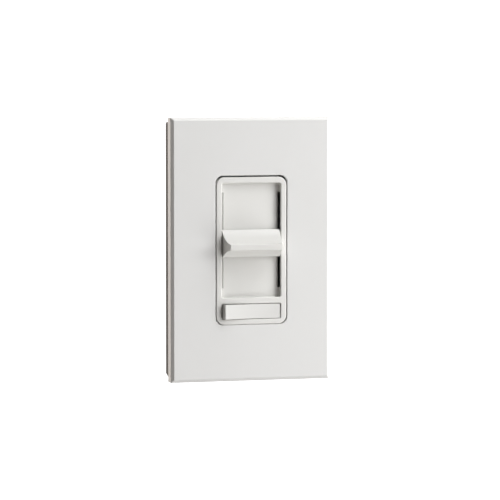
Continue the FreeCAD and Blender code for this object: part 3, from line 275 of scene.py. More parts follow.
# --- shader groups shared by the finishes -------------------------------------
class Effects(Library):
    """Shader groups for every finish that needs them."""

    @staticmethod
    def tone_drift() -> Tree:
        """A slow drift of tone and warmth over a surface."""
        g, pin = open_group("tone_drift", Vector=None, Colour=(0.8, 0.8, 0.8, 1.0), Size=0.03, Amount=0.03)
        cloud = g.noise(pin["Vector"], g.math("DIVIDE", 1.0, pin["Size"]), 4.0, 0.55)
        mask = g.spread(cloud, 0.3, 0.7)
        darker = g.math("SUBTRACT", 1.0, g.math("MULTIPLY", mask, pin["Amount"]))
        shade = g.out("ShaderNodeCombineColor", {0: darker, 1: darker, 2: g.math("POWER", darker, 1.25)})
        mix = g.add("ShaderNodeMix", {0: 1.0, 6: pin["Colour"], 7: shade}, data_type="RGBA",
                    blend_type="MULTIPLY")
        return close_group(g, Colour=mix.outputs[2], Mask=mask)

    @staticmethod
    def mould_grain() -> Tree:
        """The fine spark texture and faint flow waves of moulded plastic."""
        g, pin = open_group("mould_grain", Vector=None, Size=0.0004, Wave=0.3)
        scale = g.math("DIVIDE", 1.0, pin["Size"])
        pits = g.noise(pin["Vector"], scale, 3.0, 0.6)
        waves = g.noise(pin["Vector"], g.math("MULTIPLY", scale, 0.06), 1.0)
        height = g.math("ADD", pits, g.math("MULTIPLY", waves, pin["Wave"]))
        return close_group(g, Height=height, Mask=g.spread(pits, 0.35, 0.65))

    @staticmethod
    def edge_wear() -> Tree:
        """A broken mask along outer edges."""
        g, pin = open_group("edge_wear", Vector=None, Radius=0.0004, Patch=0.004)
        rounded = g.out("ShaderNodeBevel", {"Radius": pin["Radius"]}, samples=4)
        true = g.add("ShaderNodeNewGeometry").outputs["Normal"]
        dot = g.add("ShaderNodeVectorMath", {0: rounded, 1: true}, operation="DOT_PRODUCT")
        edge = g.spread(dot.outputs["Value"], 0.999, 0.9)
        breaks = g.noise(pin["Vector"], g.math("DIVIDE", 1.0, pin["Patch"]), 3.0)
        return close_group(g, Mask=g.math("MULTIPLY", edge, g.spread(breaks, 0.42, 0.62), clamp=True))

    @staticmethod
    def settled_dust() -> Tree:
        """Dust that lies on upward faces and in corners."""
        g, pin = open_group("settled_dust", Vector=None, Amount=0.2, Reach=0.002)
        true = g.add("ShaderNodeNewGeometry").outputs["Normal"]
        lying = g.spread(g.add("ShaderNodeSeparateXYZ", {0: true}).outputs["Z"], 0.5, 1.0)
        shelter = g.add("ShaderNodeAmbientOcclusion", {"Distance": pin["Reach"]}, samples=4, only_local=True)
        corner = g.spread(shelter.outputs["AO"], 0.9, 0.4)
        patchy = g.spread(g.noise(pin["Vector"], 900.0, 2.0), 0.35, 0.7, 0.2, 1.0)
        both = g.math("ADD", g.math("MULTIPLY", lying, 0.5), g.math("MULTIPLY", corner, 0.6), clamp=True)
        return close_group(g, Mask=g.math("MULTIPLY", g.math("MULTIPLY", both, patchy), pin["Amount"],
                                          clamp=True))

    @staticmethod
    def brushed() -> Tree:
        """Fine marks along one direction, as rolling or brushing leaves."""
        g, pin = open_group("brushed", Vector=None, Stretch=(1.0, 1.0, 1.0), Size=0.0002)
        drawn = g.vector("MULTIPLY", pin["Vector"], pin["Stretch"])
        lines = g.noise(drawn, g.math("DIVIDE", 1.0, pin["Size"]), 4.0, 0.65)
        return close_group(g, Height=lines, Mask=g.spread(lines, 0.3, 0.7))

    @staticmethod
    def speckle() -> Tree:
        """Small scattered grains of a second colour."""
        g, pin = open_group("speckle", Vector=None, Size=0.0006, Share=0.3)
        scale = g.math("DIVIDE", 1.0, pin["Size"])
        cells = g.add("ShaderNodeTexVoronoi", {"Vector": pin["Vector"], "Scale": scale})
        lit = g.out("ShaderNodeSeparateColor", {0: cells.outputs["Color"]})
        chosen = g.math("LESS_THAN", lit, pin["Share"])
        core = g.spread(cells.outputs["Distance"], 0.5, 0.2)
        return close_group(g, Mask=g.math("MULTIPLY", chosen, core))


# --- finishes -----------------------------------------------------------------
DUST = rgba((0.55, 0.52, 0.48))
METAL_DUST = rgba((0.5, 0.48, 0.45))


@dataclass(frozen=True)
class Finish:
    """What every finish holds and how its material starts.

    Attributes:
        name: the material's name.
        colour: the clean surface's colour.
        roughness: the clean surface's roughness.
        drift: how far the tone wanders.
        dust: how much dust has settled.
        slot: the record's material slot, where it isn't the finish's own name; not used.
    """

    name: str
    colour: Colour
    roughness: float
    drift: float = 0.03
    dust: float = 0.1
    slot: str = ""

    def start(self) -> tuple[Material, Graph, Node, Socket]:
        """Make the material with its Principled shader and its coordinates.

        Returns:
            The material, its graph, the shader and the object coordinates.
        """
        material = bpy.data.materials.new(self.name)
        material.use_nodes = True
        material.diffuse_color = rgba(self.colour)
        graph = Graph(material.node_tree)
        shader = material.node_tree.nodes["Principled BSDF"]
        place = graph.add("ShaderNodeTexCoord").outputs["Object"]
        return material, graph, shader, place

    def effect(self, graph: Graph, name: str, **inputs: Any) -> Node:
        """Place a shared effect in the material and return its group node."""
        return graph.add("ShaderNodeGroup", inputs, node_tree=Effects.get(name))

    def coloured(self, graph: Graph, place: Socket) -> Socket:
        """The drifting base colour under a little dust.

        Args:
            graph: the material's graph.
            place: the coordinates.

        Returns:
            The colour's socket.
        """
        tone = self.effect(graph, "tone_drift", Vector=place, Colour=rgba(self.colour), Amount=self.drift)
        dust = self.effect(graph, "settled_dust", Vector=place, Amount=self.dust)
        return self.mixed(graph, dust.outputs["Mask"], tone.outputs["Colour"], DUST)

    @staticmethod
    def mixed(graph: Graph, mask: Any, first: Any, second: Any) -> Socket:
        """Mix two colours by a mask and return the result's socket."""
        node = graph.add("ShaderNodeMix", {0: mask, 6: first, 7: second}, data_type="RGBA")
        return node.outputs[2]

    def end(self, graph: Graph, shader: Node, base: Socket, rough: Socket, height: Any) -> None:
        """Feed the shader its colour, its roughness and its relief, as deep as the finish's own depth.

        Args:
            graph: the material's graph.
            shader: the Principled shader.
            base: the colour's socket.
            rough: the roughness's socket.
            height: the relief's socket.
        """
        relief = {"Strength": 1.0, "Distance": self.depth, "Height": height}
        graph.tree.links.new(base, shader.inputs["Base Color"])
        graph.tree.links.new(rough, shader.inputs["Roughness"])
        graph.tree.links.new(graph.out("ShaderNodeBump", relief), shader.inputs["Normal"])

    def build(self) -> Material:
        """Make the material."""
        raise NotImplementedError


@dataclass(frozen=True)
class MouldedPlastic(Finish):
    """Injection-moulded plastic, from satin to gloss.

    Attributes:
        grain: size of the mould's texture.
        depth: depth of that texture.
        wear: how much the edges are rubbed.
        gleam: the shader's specular level.
    """

    grain: float = 0.35 * MM
    depth: float = 0.004 * MM
    wear: float = 0.1
    gleam: float = 0.5

    def build(self) -> Material:
        """Make the material."""
        material, g, shader, place = self.start()
        grain = self.effect(g, "mould_grain", Vector=place, Size=self.grain)
        wear = self.effect(g, "edge_wear", Vector=place)
        base = self.coloured(g, place)
        rubbed = tuple(min(1.0, c * 1.15 + 0.02) for c in self.colour)
        worn = g.math("MULTIPLY", wear.outputs["Mask"], self.wear)
        colour = self.mixed(g, worn, base, rgba(rubbed))
        rough = g.spread(grain.outputs["Mask"], 0.0, 1.0, self.roughness - 0.05, self.roughness + 0.05)
        polished = g.math("SUBTRACT", rough, g.math("MULTIPLY", worn, 0.12))
        shader.inputs["Specular IOR Level"].default_value = self.gleam
        self.end(g, shader, colour, polished, grain.outputs["Height"])
        return material


@dataclass(frozen=True)
class Metal(Finish):
    """Rolled, drawn or plated metal.

    Attributes:
        lie: the direction of its marks.
        size: how fine the marks are.
        depth: how deep the marks are.
        stain: the colour of tarnish.
        stained: how much of it shows.
        wear: how bright the edges are rubbed.
    """

    lie: Axis = Axis.Z
    size: float = 0.12 * MM
    depth: float = 0.004 * MM
    stain: Colour = (0.25, 0.22, 0.19)
    stained: float = 0.25
    wear: float = 0.5

    def build(self) -> Material:
        """Make the material."""
        material, g, shader, place = self.start()
        stretch = tuple(0.03 if part else 1.0 for part in self.lie.value)
        marks = self.effect(g, "brushed", Vector=place, Stretch=stretch, Size=self.size)
        tone = self.effect(g, "tone_drift", Vector=place, Colour=rgba(self.colour), Size=6.0 * MM,
                           Amount=self.drift)
        dust = self.effect(g, "settled_dust", Vector=place, Amount=self.dust)
        wear = self.effect(g, "edge_wear", Vector=place, Radius=0.25 * MM, Patch=2.5 * MM)
        dull = g.math("MULTIPLY", tone.outputs["Mask"], self.stained)
        stained = self.mixed(g, dull, tone.outputs["Colour"], rgba(self.stain))
        bright = tuple(min(1.0, c * 1.2 + 0.05) for c in self.colour)
        rubbed = self.mixed(g, g.math("MULTIPLY", wear.outputs["Mask"], self.wear), stained, rgba(bright))
        dusty = self.mixed(g, dust.outputs["Mask"], rubbed, METAL_DUST)
        shader.inputs["Metallic"].default_value = 1.0
        rough = g.spread(marks.outputs["Mask"], 0.0, 1.0, self.roughness - 0.07, self.roughness + 0.09)
        duller = g.math("ADD", rough, g.math("MULTIPLY", dull, 0.25))
        self.end(g, shader, dusty, duller, marks.outputs["Height"])
        return material


@dataclass(frozen=True)
class Lacquer(Finish):
    """A dipped or sprayed coat with a thick, slightly wavy skin.

    Attributes:
        coat: weight of the clear layer.
        wave: size of the skin's waves.
        depth: their depth.
        fleck: colour of small grains in the body.
        flecked: how many grains there are.
    """

    coat: float = 0.6
    wave: float = 0.9 * MM
    depth: float = 0.02 * MM
    fleck: Colour = (0.0, 0.0, 0.0)
    flecked: float = 0.0

    def build(self) -> Material:
        """Make the material."""
        material, g, shader, place = self.start()
        skin = self.effect(g, "mould_grain", Vector=place, Size=self.wave, Wave=1.0)
        grains = self.effect(g, "speckle", Vector=place, Size=0.5 * MM, Share=self.flecked)
        base = self.mixed(g, grains.outputs["Mask"], self.coloured(g, place), rgba(self.fleck))
        rough = g.spread(skin.outputs["Mask"], 0.0, 1.0, self.roughness - 0.04, self.roughness + 0.06)
        shader.inputs["Coat Weight"].default_value = self.coat
        shader.inputs["Coat Roughness"].default_value = 0.12
        self.end(g, shader, base, rough, skin.outputs["Height"])
        return material


@dataclass(frozen=True)
class Fibre(Finish):
    """Pressed fibre sheet or bare laminate, with crossing threads.

    Attributes:
        thread: spacing of the threads.
        depth: relief of the weave.
        dark: colour between the threads.
    """

    thread: float = 0.5 * MM
    depth: float = 0.01 * MM
    dark: Colour = (0.1, 0.08, 0.05)

    def build(self) -> Material:
        """Make the material."""
        material, g, shader, place = self.start()
        wave = {"Vector": place, "Scale": 1.0 / self.thread / 6.0, "Distortion": 0.6}
        across, along = (g.add("ShaderNodeTexWave", wave, bands_direction=way).outputs["Fac"] for way in "XZ")
        weave = g.math("MULTIPLY", g.math("ADD", across, along), 0.5)
        gaps = g.spread(weave, 0.5, 0.1, 0.0, 0.5)
        base = self.mixed(g, gaps, self.coloured(g, place), rgba(self.dark))
        rough = g.spread(weave, 0.0, 1.0, self.roughness + 0.1, self.roughness - 0.05)
        self.end(g, shader, base, rough, weave)
        return material


PLATE_WHITE = MouldedPlastic("plate_white", (0.76, 0.76, 0.752), 0.36, drift=0.012, dust=0.04,
                             grain=0.8 * MM, depth=0.0015 * MM, wear=0.03)
DEVICE_WHITE = MouldedPlastic("device_white", (0.76, 0.757, 0.735), 0.42, drift=0.015, dust=0.05,
                              grain=0.3 * MM, depth=0.003 * MM, wear=0.05)
# A darker copy of device_white for the button: painted shade that dims the button against the rest of the
# device.
ROCKER_SHADED_WHITE = MouldedPlastic("rocker_white", (0.7, 0.697, 0.68), 0.6, drift=0.015, dust=0.05,
                              grain=0.3 * MM, depth=0.003 * MM, wear=0.05, gleam=0.35, slot="device_white")
# The sub-plate's dark colour is painted shade: it stands in for the shade in the strip behind the plate's
# skirt.
ADAPTER_PAINTED_SHADE = MouldedPlastic("adapter_grey", (0.085, 0.072, 0.065), 0.55, drift=0.1, dust=0.15,
                              grain=0.5 * MM, depth=0.008 * MM, wear=0.3)
HOUSING_BLACK = MouldedPlastic("housing_black", (0.022, 0.022, 0.024), 0.5, drift=0.15, dust=0.12,
                               grain=0.4 * MM, depth=0.012 * MM, wear=0.5)
CARRIAGE_GREY = MouldedPlastic("carriage_grey", (0.5, 0.5, 0.48), 0.42, drift=0.05, dust=0.1)
WIPER_BLACK = MouldedPlastic("wiper_black", (0.03, 0.03, 0.03), 0.4, drift=0.1, dust=0.05)
EPOXY_BLACK = MouldedPlastic("device_epoxy", (0.025, 0.025, 0.026), 0.6, drift=0.1, dust=0.05,
                             grain=0.2 * MM, depth=0.01 * MM)
STRAP_METAL = Metal("strap_metal", (0.62, 0.63, 0.64), 0.36, lie=Axis.Z, drift=0.12, stained=0.12)
SCREW_STEEL = Metal("screw_steel", (0.6, 0.6, 0.58), 0.3, lie=Axis.Y, drift=0.15, stained=0.2,
                    stain=(0.35, 0.33, 0.25))
CASE_STEEL = Metal("case_steel", (0.6, 0.61, 0.62), 0.3, drift=0.1)
TIN_PINS = Metal("tin_pins", (0.7, 0.7, 0.68), 0.28, lie=Axis.Y, drift=0.08)
RIVET_METAL = Metal("rivet_aluminium", (0.72, 0.72, 0.73), 0.25, lie=Axis.Y, drift=0.08)
BRASS = Metal("brass", (0.62, 0.42, 0.16), 0.3, lie=Axis.Z, drift=0.15, stained=0.3,
              stain=(0.3, 0.17, 0.07))
SILVER = Metal("silver", (0.82, 0.82, 0.8), 0.22, lie=Axis.X, drift=0.1, stained=0.2)
SPRING_STEEL = Metal("spring_steel", (0.5, 0.5, 0.5), 0.28, drift=0.1, stained=0.2)
GROUND_GREEN = Metal("ground_green", (0.03, 0.32, 0.1), 0.3, lie=Axis.X, drift=0.2, stained=0.2,
                     stain=(0.02, 0.12, 0.04), wear=0.4)
BOARD_GREEN = Lacquer("board_green", (0.02, 0.14, 0.05), 0.35, coat=0.3, wave=1.4 * MM,
                      fleck=(0.05, 0.26, 0.1), flecked=0.12)
FERRITE = Lacquer("ferrite", (0.4, 0.38, 0.09), 0.55, coat=0.1, depth=0.04 * MM, fleck=(0.3, 0.28, 0.06),
                  flecked=0.3)
ENAMEL_WIRE = Metal("enamel_wire", (0.5, 0.17, 0.06), 0.25, lie=Axis.Y, drift=0.2, stained=0.3,
                    stain=(0.25, 0.06, 0.02))
CAPACITOR = Lacquer("capacitor_film", (0.34, 0.05, 0.03), 0.3, coat=0.8, depth=0.05 * MM)
RESISTOR = Lacquer("resistor_lacquer", (0.48, 0.36, 0.2), 0.4, coat=0.4, depth=0.03 * MM,
                   fleck=(0.4, 0.28, 0.14), flecked=0.2)
DIAC = Lacquer("diac_glass", (0.35, 0.12, 0.05), 0.2, coat=1.0, depth=0.01 * MM)
INSULATOR = Fibre("insulator_fibre", (0.3, 0.25, 0.17), 0.7, drift=0.1)
TRACK_BOARD = Fibre("track_board", (0.2, 0.1, 0.05), 0.5, drift=0.1)

CAD_FINISHES: dict[str, Finish] = {
    "wall_plate": PLATE_WHITE, "plate_adapter": ADAPTER_PAINTED_SHADE, "adapter_screws": SCREW_STEEL,
    "bezel_frame": DEVICE_WHITE, "mounting_strap": STRAP_METAL, "box_screws": SCREW_STEEL,
    "rear_housing": HOUSING_BLACK, "housing_screws": SCREW_STEEL, "insulating_sheet": INSULATOR,
    "pot_cover": CASE_STEEL, "pot_track": TRACK_BOARD, "pot_terminals": TIN_PINS,
    "circuit_board": BOARD_GREEN, "triac": EPOXY_BLACK, "triac_rivet": RIVET_METAL,
    "choke_core": FERRITE, "choke_winding": ENAMEL_WIRE, "film_capacitors": CAPACITOR,
    "resistors": RESISTOR, "trigger_diac": DIAC, "line_terminal": BRASS, "load_terminal": BRASS,
    "common_terminal": BRASS, "fixed_contact": SILVER, "contact_pivot_pin": SCREW_STEEL,
    "terminal_screws": BRASS, "ground_screw": GROUND_GREEN, "slider_knob": DEVICE_WHITE,
    "slider_carriage": CARRIAGE_GREY, "carriage_springs": SPRING_STEEL, "pot_lever": CASE_STEEL,
    "pot_wiper": WIPER_BLACK, "rocker_button": ROCKER_SHADED_WHITE, "rocker_plunger": CARRIAGE_GREY,
    "plunger_spring": SPRING_STEEL, "contact_arm": BRASS, "moving_contact": SILVER,
}


class Workshop:
    """Materials by finish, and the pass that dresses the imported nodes."""

    def __init__(self) -> None:
        """Start with no material made."""
        self.made: dict[str, Material] = {}

    def material(self, finish: Finish) -> Material:
        """The finish's material, built on first use."""
        if finish.name not in self.made:
            self.made[finish.name] = finish.build()
        return self.made[finish.name]

    def dress(self, node: str, finish: Finish) -> None:
        """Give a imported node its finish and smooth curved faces.

        Args:
            node: the node's name.
            finish: its finish.
        """
        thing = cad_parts[node]
        material = self.material(finish)
        for slot in thing.material_slots:
            slot.material = material
        welded = thing.modifiers.new("smooth", "NODES")
        welded.node_group = Trees.get("weld")
        even = thing.modifiers.new("even", "WEIGHTED_NORMAL")
        even.keep_sharp = True

    def finish_piece(self, piece: Item, finish: Finish, body: Body, replaces: Sequence[str] = ()) -> None:
        """Dress a new piece, put it on its body and let it stand for nodes.

        Args:
            piece: the new mesh object.
            finish: its finish.
            body: the body that it rides on.
            replaces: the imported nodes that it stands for.
        """
        piece.data.materials.clear()
        piece.data.materials.append(self.material(finish))
        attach(piece, body.value)
        if replaces:
            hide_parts(*replaces)
        LOG.info("%s: %d faces on %s", piece.name, len(piece.data.polygons), body.value)


# --- meshes and geometry trees that several pieces share ----------------------
CORNER_STEPS = 8


def mesh_of(shape: bmesh.types.BMesh, name: str) -> Mesh:
    """Turn a shape being built into a mesh and let the shape go.

    Args:
        shape: the mesh being built, which can't be used afterwards.
        name: the mesh's name.

    Returns:
        The mesh.
    """
    mesh = bpy.data.meshes.new(name)
    shape.to_mesh(mesh)
    shape.free()
    return mesh


def rounded_ring(half_x: float, half_z: float, radius: float, y: float, lift: float = 0.0) -> list[Vector]:
    """Points of a rounded rectangle in a plane of constant Y.

    Args:
        half_x: half its width.
        half_z: half its height.
        radius: its corner radius.
        y: its plane.
        lift: its middle above the device's.

    Returns:
        The points in order, the same number for any size.
    """
    points = []
    for corner, (side_x, side_z) in enumerate(((1, 1), (-1, 1), (-1, -1), (1, -1))):
        centre_x = side_x * (half_x - radius)
        centre_z = side_z * (half_z - radius) + lift
        for step in range(CORNER_STEPS + 1):
            turn = math.radians(90.0 * (corner + step / CORNER_STEPS))
            points.append(Vector((centre_x + radius * math.cos(turn), y, centre_z + radius * math.sin(turn))))
    return points


def loft(rings: Sequence[Sequence[Vector]], name: str) -> Mesh:
    """Join rings into one closed band, the last ring to the first.

    Args:
        rings: rings of equal length.
        name: the mesh's name.

    Returns:
        The mesh, facing outwards.
    """
    shape = bmesh.new()
    rows = [[shape.verts.new(point) for point in ring] for ring in rings]
    for row, following in zip(rows, rows[1:] + rows[:1]):
        for here, there in zip(range(len(row)), list(range(1, len(row))) + [0]):
            shape.faces.new((row[here], row[there], following[there], following[here]))
    bmesh.ops.recalc_face_normals(shape, faces=shape.faces)
    return mesh_of(shape, name)


def turned(profile: Sequence[tuple[float, float]], name: str, segments: int = 40) -> Mesh:
    """Turn a profile that starts and ends on the axis round +Z.

    Args:
        profile: (radius, height) points.
        name: the mesh's name.
        segments: steps round the axis.

    Returns:
        A closed mesh.
    """
    shape = bmesh.new()
    rows = []
    for radius, height in profile:
        count = segments if radius > 0.0 else 1
        turns = [2.0 * math.pi * step / segments for step in range(count)]
        rows.append([shape.verts.new((radius * math.cos(t), radius * math.sin(t), height)) for t in turns])
    for row, following in zip(rows, rows[1:]):
        for step in range(segments):
            after = (step + 1) % segments
            corners = [row[step % len(row)], row[after % len(row)],
                       following[after % len(following)], following[step % len(following)]]
            shape.faces.new(list(dict.fromkeys(corners)))
    bmesh.ops.recalc_face_normals(shape, faces=shape.faces)
    return mesh_of(shape, name)


def add_block(shape: bmesh.types.BMesh, low: Sequence[float], high: Sequence[float]) -> None:
    """Add a closed block to a mesh being built.

    Args:
        shape: the mesh being built.
        low: the block's low corner.
        high: its high corner.
    """
    made = bmesh.ops.create_cube(shape, size=1.0)
    middle = (Vector(low) + Vector(high)) / 2
    size = Vector(high) - Vector(low)
    for vertex in made["verts"]:
        vertex.co = Vector((vertex.co.x * size.x, vertex.co.y * size.y, vertex.co.z * size.z)) + middle


def blocks(spans: Iterable[tuple[Sequence[float], Sequence[float]]], name: str) -> Item:
    """Make an object of one or more blocks, for cutting.

    Args:
        spans: the low and high corner of each block.
        name: the object's name.

    Returns:
        The object.
    """
    shape = bmesh.new()
    for low, high in spans:
        add_block(shape, low, high)
    return piece_from(mesh_of(shape, name), name)


def carve(piece: Item, cutter: Item) -> None:
    """Cut one object out of another and throw the cutter away.

    Args:
        piece: what is cut.
        cutter: what is taken away.
    """
    cut = piece.modifiers.new("cut", "BOOLEAN")
    cut.operation = "DIFFERENCE"
    cut.solver = "EXACT"
    cut.object = cutter
    settle(piece)
    bpy.data.objects.remove(cutter)


def new_tree(name: str, **inputs: str) -> tuple[Graph, Any]:
    """Start a geometry tree.

    Args:
        name: the tree's name.
        inputs: input name to socket type, after the geometry.

    Returns:
        The graph and its input node's outputs.
    """
    tree = bpy.data.node_groups.new(name, "GeometryNodeTree")
    for label, kind in {"Geometry": "NodeSocketGeometry", **inputs}.items():
        tree.interface.new_socket(name=label, in_out="INPUT", socket_type=kind)
    tree.interface.new_socket(name="Geometry", in_out="OUTPUT", socket_type="NodeSocketGeometry")
    graph = Graph(tree)
    return graph, graph.add("NodeGroupInput").outputs


def close_tree(graph: Graph, pin: Any, shape: Socket) -> Tree:
    """End a geometry tree in Realize Instances and Set Material.

    Args:
        graph: the tree's graph.
        pin: its input node's outputs, one of them called Finish.
        shape: the geometry to finish.

    Returns:
        The tree.
    """
    real = graph.out("GeometryNodeRealizeInstances", {0: shape})
    painted = graph.out("GeometryNodeSetMaterial", {"Geometry": real, "Material": pin["Finish"]})
    graph.add("NodeGroupOutput", {0: painted})
    return graph.tree


def grow(name: str, tree_name: str, mesh: Mesh | None = None, **values: Any) -> Item:
    """Run a geometry tree on a new piece and keep the mesh it makes.

    Args:
        name: the piece's name.
        tree_name: the geometry tree's name.
        mesh: the points that the tree starts from, if it needs any.
        values: input name to value.

    Returns:
        The piece, as a plain mesh.
    """
    piece = piece_from(bpy.data.meshes.new(name) if mesh is None else mesh, name)
    tree = Trees.get(tree_name)
    modifier = piece.modifiers.new(tree_name, "NODES")
    modifier.node_group = tree
    sockets = {item.name: item.identifier for item in tree.interface.items_tree if item.in_out == "INPUT"}
    for label, value in values.items():
        modifier[sockets[label]] = value
    return settle(piece)


def squared(graph: Graph, value: Socket) -> Socket:
    """Flatten a circle's coordinate towards a rounded square's."""
    size = graph.math("POWER", graph.math("ABSOLUTE", value), 0.45)
    return graph.math("MULTIPLY", graph.math("SIGN", value), size)


def swept_wire(graph: Graph, line: Socket, radius: Socket, steps: int = 10, scale: Any = 1.0) -> Socket:
    """Give a line a round section with closed ends and return the mesh's socket."""
    section = graph.out("GeometryNodeCurvePrimitiveCircle", {"Resolution": steps, "Radius": radius})
    return graph.out("GeometryNodeCurveToMesh", {
        "Curve": line, "Profile Curve": section, "Scale": scale, "Fill Caps": True})


class Trees(Library):
    """Geometry trees for repeats and coils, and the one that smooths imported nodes."""

    @staticmethod
    def weld() -> Tree:
        """Join loose triangles and crease only real edges."""
        g, pin = new_tree("weld")
        welded = g.out("GeometryNodeMergeByDistance", {"Geometry": pin[0], "Distance": 1e-6})
        angle = g.out("GeometryNodeInputMeshEdgeAngle")
        sharp = g.out("FunctionNodeCompare", {0: angle, 1: math.radians(28.0)}, operation="GREATER_THAN")
        smooth = g.out("GeometryNodeSetShadeSmooth", {
            "Geometry": welded, "Shade Smooth": True}, domain="FACE")
        creased = g.out("GeometryNodeSetShadeSmooth", {
            "Geometry": smooth, "Selection": sharp, "Shade Smooth": False}, domain="EDGE")
        g.add("NodeGroupOutput", {0: creased})
        return g.tree

    @staticmethod
    def screws() -> Tree:
        """A screw with a helical thread at each point, its slot rolled by the point's own angle."""
        g, pin = new_tree("screws", Head=OBJECT, Radius=FLOAT, Depth=FLOAT, Pitch=FLOAT, Start=FLOAT,
                          Length=FLOAT, Turn=VECTOR, Finish=MATERIAL)
        turns = g.math("DIVIDE", pin["Length"], pin["Pitch"])
        rod = g.out("GeometryNodeMeshCylinder", {
            "Vertices": 24, "Side Segments": g.math("MULTIPLY", turns, 6.0), "Fill Segments": 1,
            "Radius": pin["Radius"], "Depth": pin["Length"]})
        here = g.add("ShaderNodeSeparateXYZ", {0: g.out("GeometryNodeInputPosition")}).outputs
        along = g.math("ADD", here["Z"], g.math("MULTIPLY", pin["Length"], 0.5))
        share = g.math("DIVIDE", g.math("ARCTAN2", here["Y"], here["X"]), 2.0 * math.pi)
        phase = g.math("SUBTRACT", g.math("DIVIDE", along, pin["Pitch"]), share)
        crest = g.math("MULTIPLY", g.math("PINGPONG", phase, 0.5), 2.0)
        lead_in = g.math("DIVIDE", along, pin["Pitch"], clamp=True)
        left = g.math("SUBTRACT", pin["Length"], along)
        run_out = g.math("DIVIDE", left, g.math("MULTIPLY", pin["Pitch"], 1.5), clamp=True)
        full = g.math("MULTIPLY", crest, g.math("MULTIPLY", lead_in, run_out))
        deepest = g.math("DIVIDE", pin["Depth"], pin["Radius"])
        sunk = g.math("MULTIPLY", deepest, g.math("SUBTRACT", 1.0, full))
        keep = g.math("SUBTRACT", 1.0, sunk)
        place = g.point(g.math("MULTIPLY", here["X"], keep), g.math("MULTIPLY", here["Y"], keep),
                        g.math("ADD", along, pin["Start"]))
        thread = g.out("GeometryNodeSetPosition", {"Geometry": rod, "Position": place})
        head = g.add("GeometryNodeObjectInfo", {"Object": pin["Head"]}, transform_space="ORIGINAL")
        whole = g.add("GeometryNodeJoinGeometry")
        for part in (head.outputs["Geometry"], thread):
            g.tree.links.new(part, whole.inputs[0])
        copies = g.out("GeometryNodeInstanceOnPoints", {
            "Points": pin["Geometry"], "Instance": whole.outputs[0], "Rotation": pin["Turn"]})
        roll = g.out("GeometryNodeInputNamedAttribute", {"Name": "roll"}, data_type="FLOAT")
        rolled = g.out("GeometryNodeRotateInstances", {
            "Instances": copies, "Rotation": g.point(z=roll), "Local Space": True})
        return close_tree(g, pin, rolled)

    @staticmethod
    def coil() -> Tree:
        """A coil spring that runs along +Z, then is turned and placed."""
        g, pin = new_tree("coil", Radius=FLOAT, Wire=FLOAT, Turns=FLOAT, Length=FLOAT, Turn=VECTOR,
                          Place=VECTOR, Finish=MATERIAL)
        line = g.out("GeometryNodeCurveSpiral", {
            "Resolution": 24, "Rotations": pin["Turns"], "Start Radius": pin["Radius"],
            "End Radius": pin["Radius"], "Height": pin["Length"]})
        wire = swept_wire(g, line, pin["Wire"])
        placed = g.out("GeometryNodeTransform", {
            "Geometry": wire, "Translation": pin["Place"], "Rotation": pin["Turn"]})
        return close_tree(g, pin, placed)

    @staticmethod
    def winding() -> Tree:
        """One wire wound round a flat ring whose axis is Y."""
        g, pin = new_tree("winding", Middle=FLOAT, Across=FLOAT, Deep=FLOAT, Turns=FLOAT, First=FLOAT,
                          Sweep=FLOAT, Wire=FLOAT, Place=VECTOR, Finish=MATERIAL)
        line = g.out("GeometryNodeCurvePrimitiveLine")
        points = g.out("GeometryNodeResampleCurve", {
            "Curve": line, "Count": g.math("MULTIPLY", pin["Turns"], 28.0)})
        share = g.out("GeometryNodeSplineParameter")
        around = g.math("MULTIPLY", g.math("MULTIPLY", share, pin["Turns"]), 2.0 * math.pi)
        swept = g.math("ADD", g.math("MULTIPLY", share, pin["Sweep"]), pin["First"])
        across = g.math("MULTIPLY", squared(g, g.math("COSINE", around)), pin["Across"])
        reach = g.math("ADD", pin["Middle"], across)
        deep = g.math("MULTIPLY", squared(g, g.math("SINE", around)), pin["Deep"])
        place = g.point(g.math("MULTIPLY", reach, g.math("COSINE", swept)), deep,
                        g.math("MULTIPLY", reach, g.math("SINE", swept)))
        wound = g.out("GeometryNodeSetPosition", {"Geometry": points, "Position": place})
        wire = swept_wire(g, wound, pin["Wire"])
        placed = g.out("GeometryNodeTransform", {"Geometry": wire, "Translation": pin["Place"]})
        return close_tree(g, pin, placed)

    @staticmethod
    def ribs() -> Tree:
        """Round-topped ribs of equal length, side by side along X, each running along Z."""
        g, pin = new_tree("ribs", Count=WHOLE, Step=FLOAT, Length=FLOAT, Width=FLOAT, Place=VECTOR,
                          Finish=MATERIAL)
        half = g.math("MULTIPLY", pin["Length"], 0.5)
        run = g.out("GeometryNodeCurvePrimitiveLine", {
            "Start": g.point(z=g.math("MULTIPLY", half, -1.0)), "End": g.point(z=half)})
        fine = g.out("GeometryNodeResampleCurve", {"Curve": run, "Count": 17})
        share = g.out("GeometryNodeSplineParameter")
        middle = g.math("ABSOLUTE", g.math("SUBTRACT", g.math("MULTIPLY", share, 2.0), 1.0))
        ends = g.math("SQRT", g.math("SUBTRACT", 1.0, g.math("POWER", middle, 16.0)))
        size = g.math("MAXIMUM", ends, 0.15)
        eased = g.out("GeometryNodeSetCurveRadius", {"Curve": fine, "Radius": size})
        rib = swept_wire(g, eased, g.math("MULTIPLY", pin["Width"], 0.5), 12, size)
        row = g.out("GeometryNodeMeshLine", {"Count": pin["Count"], "Offset": g.point(pin["Step"])})
        copies = g.out("GeometryNodeInstanceOnPoints", {"Points": row, "Instance": rib})
        span = g.math("MULTIPLY", g.math("SUBTRACT", pin["Count"], 1.0), pin["Step"])
        shift = g.vector("ADD", g.point(g.math("MULTIPLY", span, -0.5)), pin["Place"])
        return close_tree(g, pin, g.out("GeometryNodeTransform", {"Geometry": copies, "Translation": shift}))


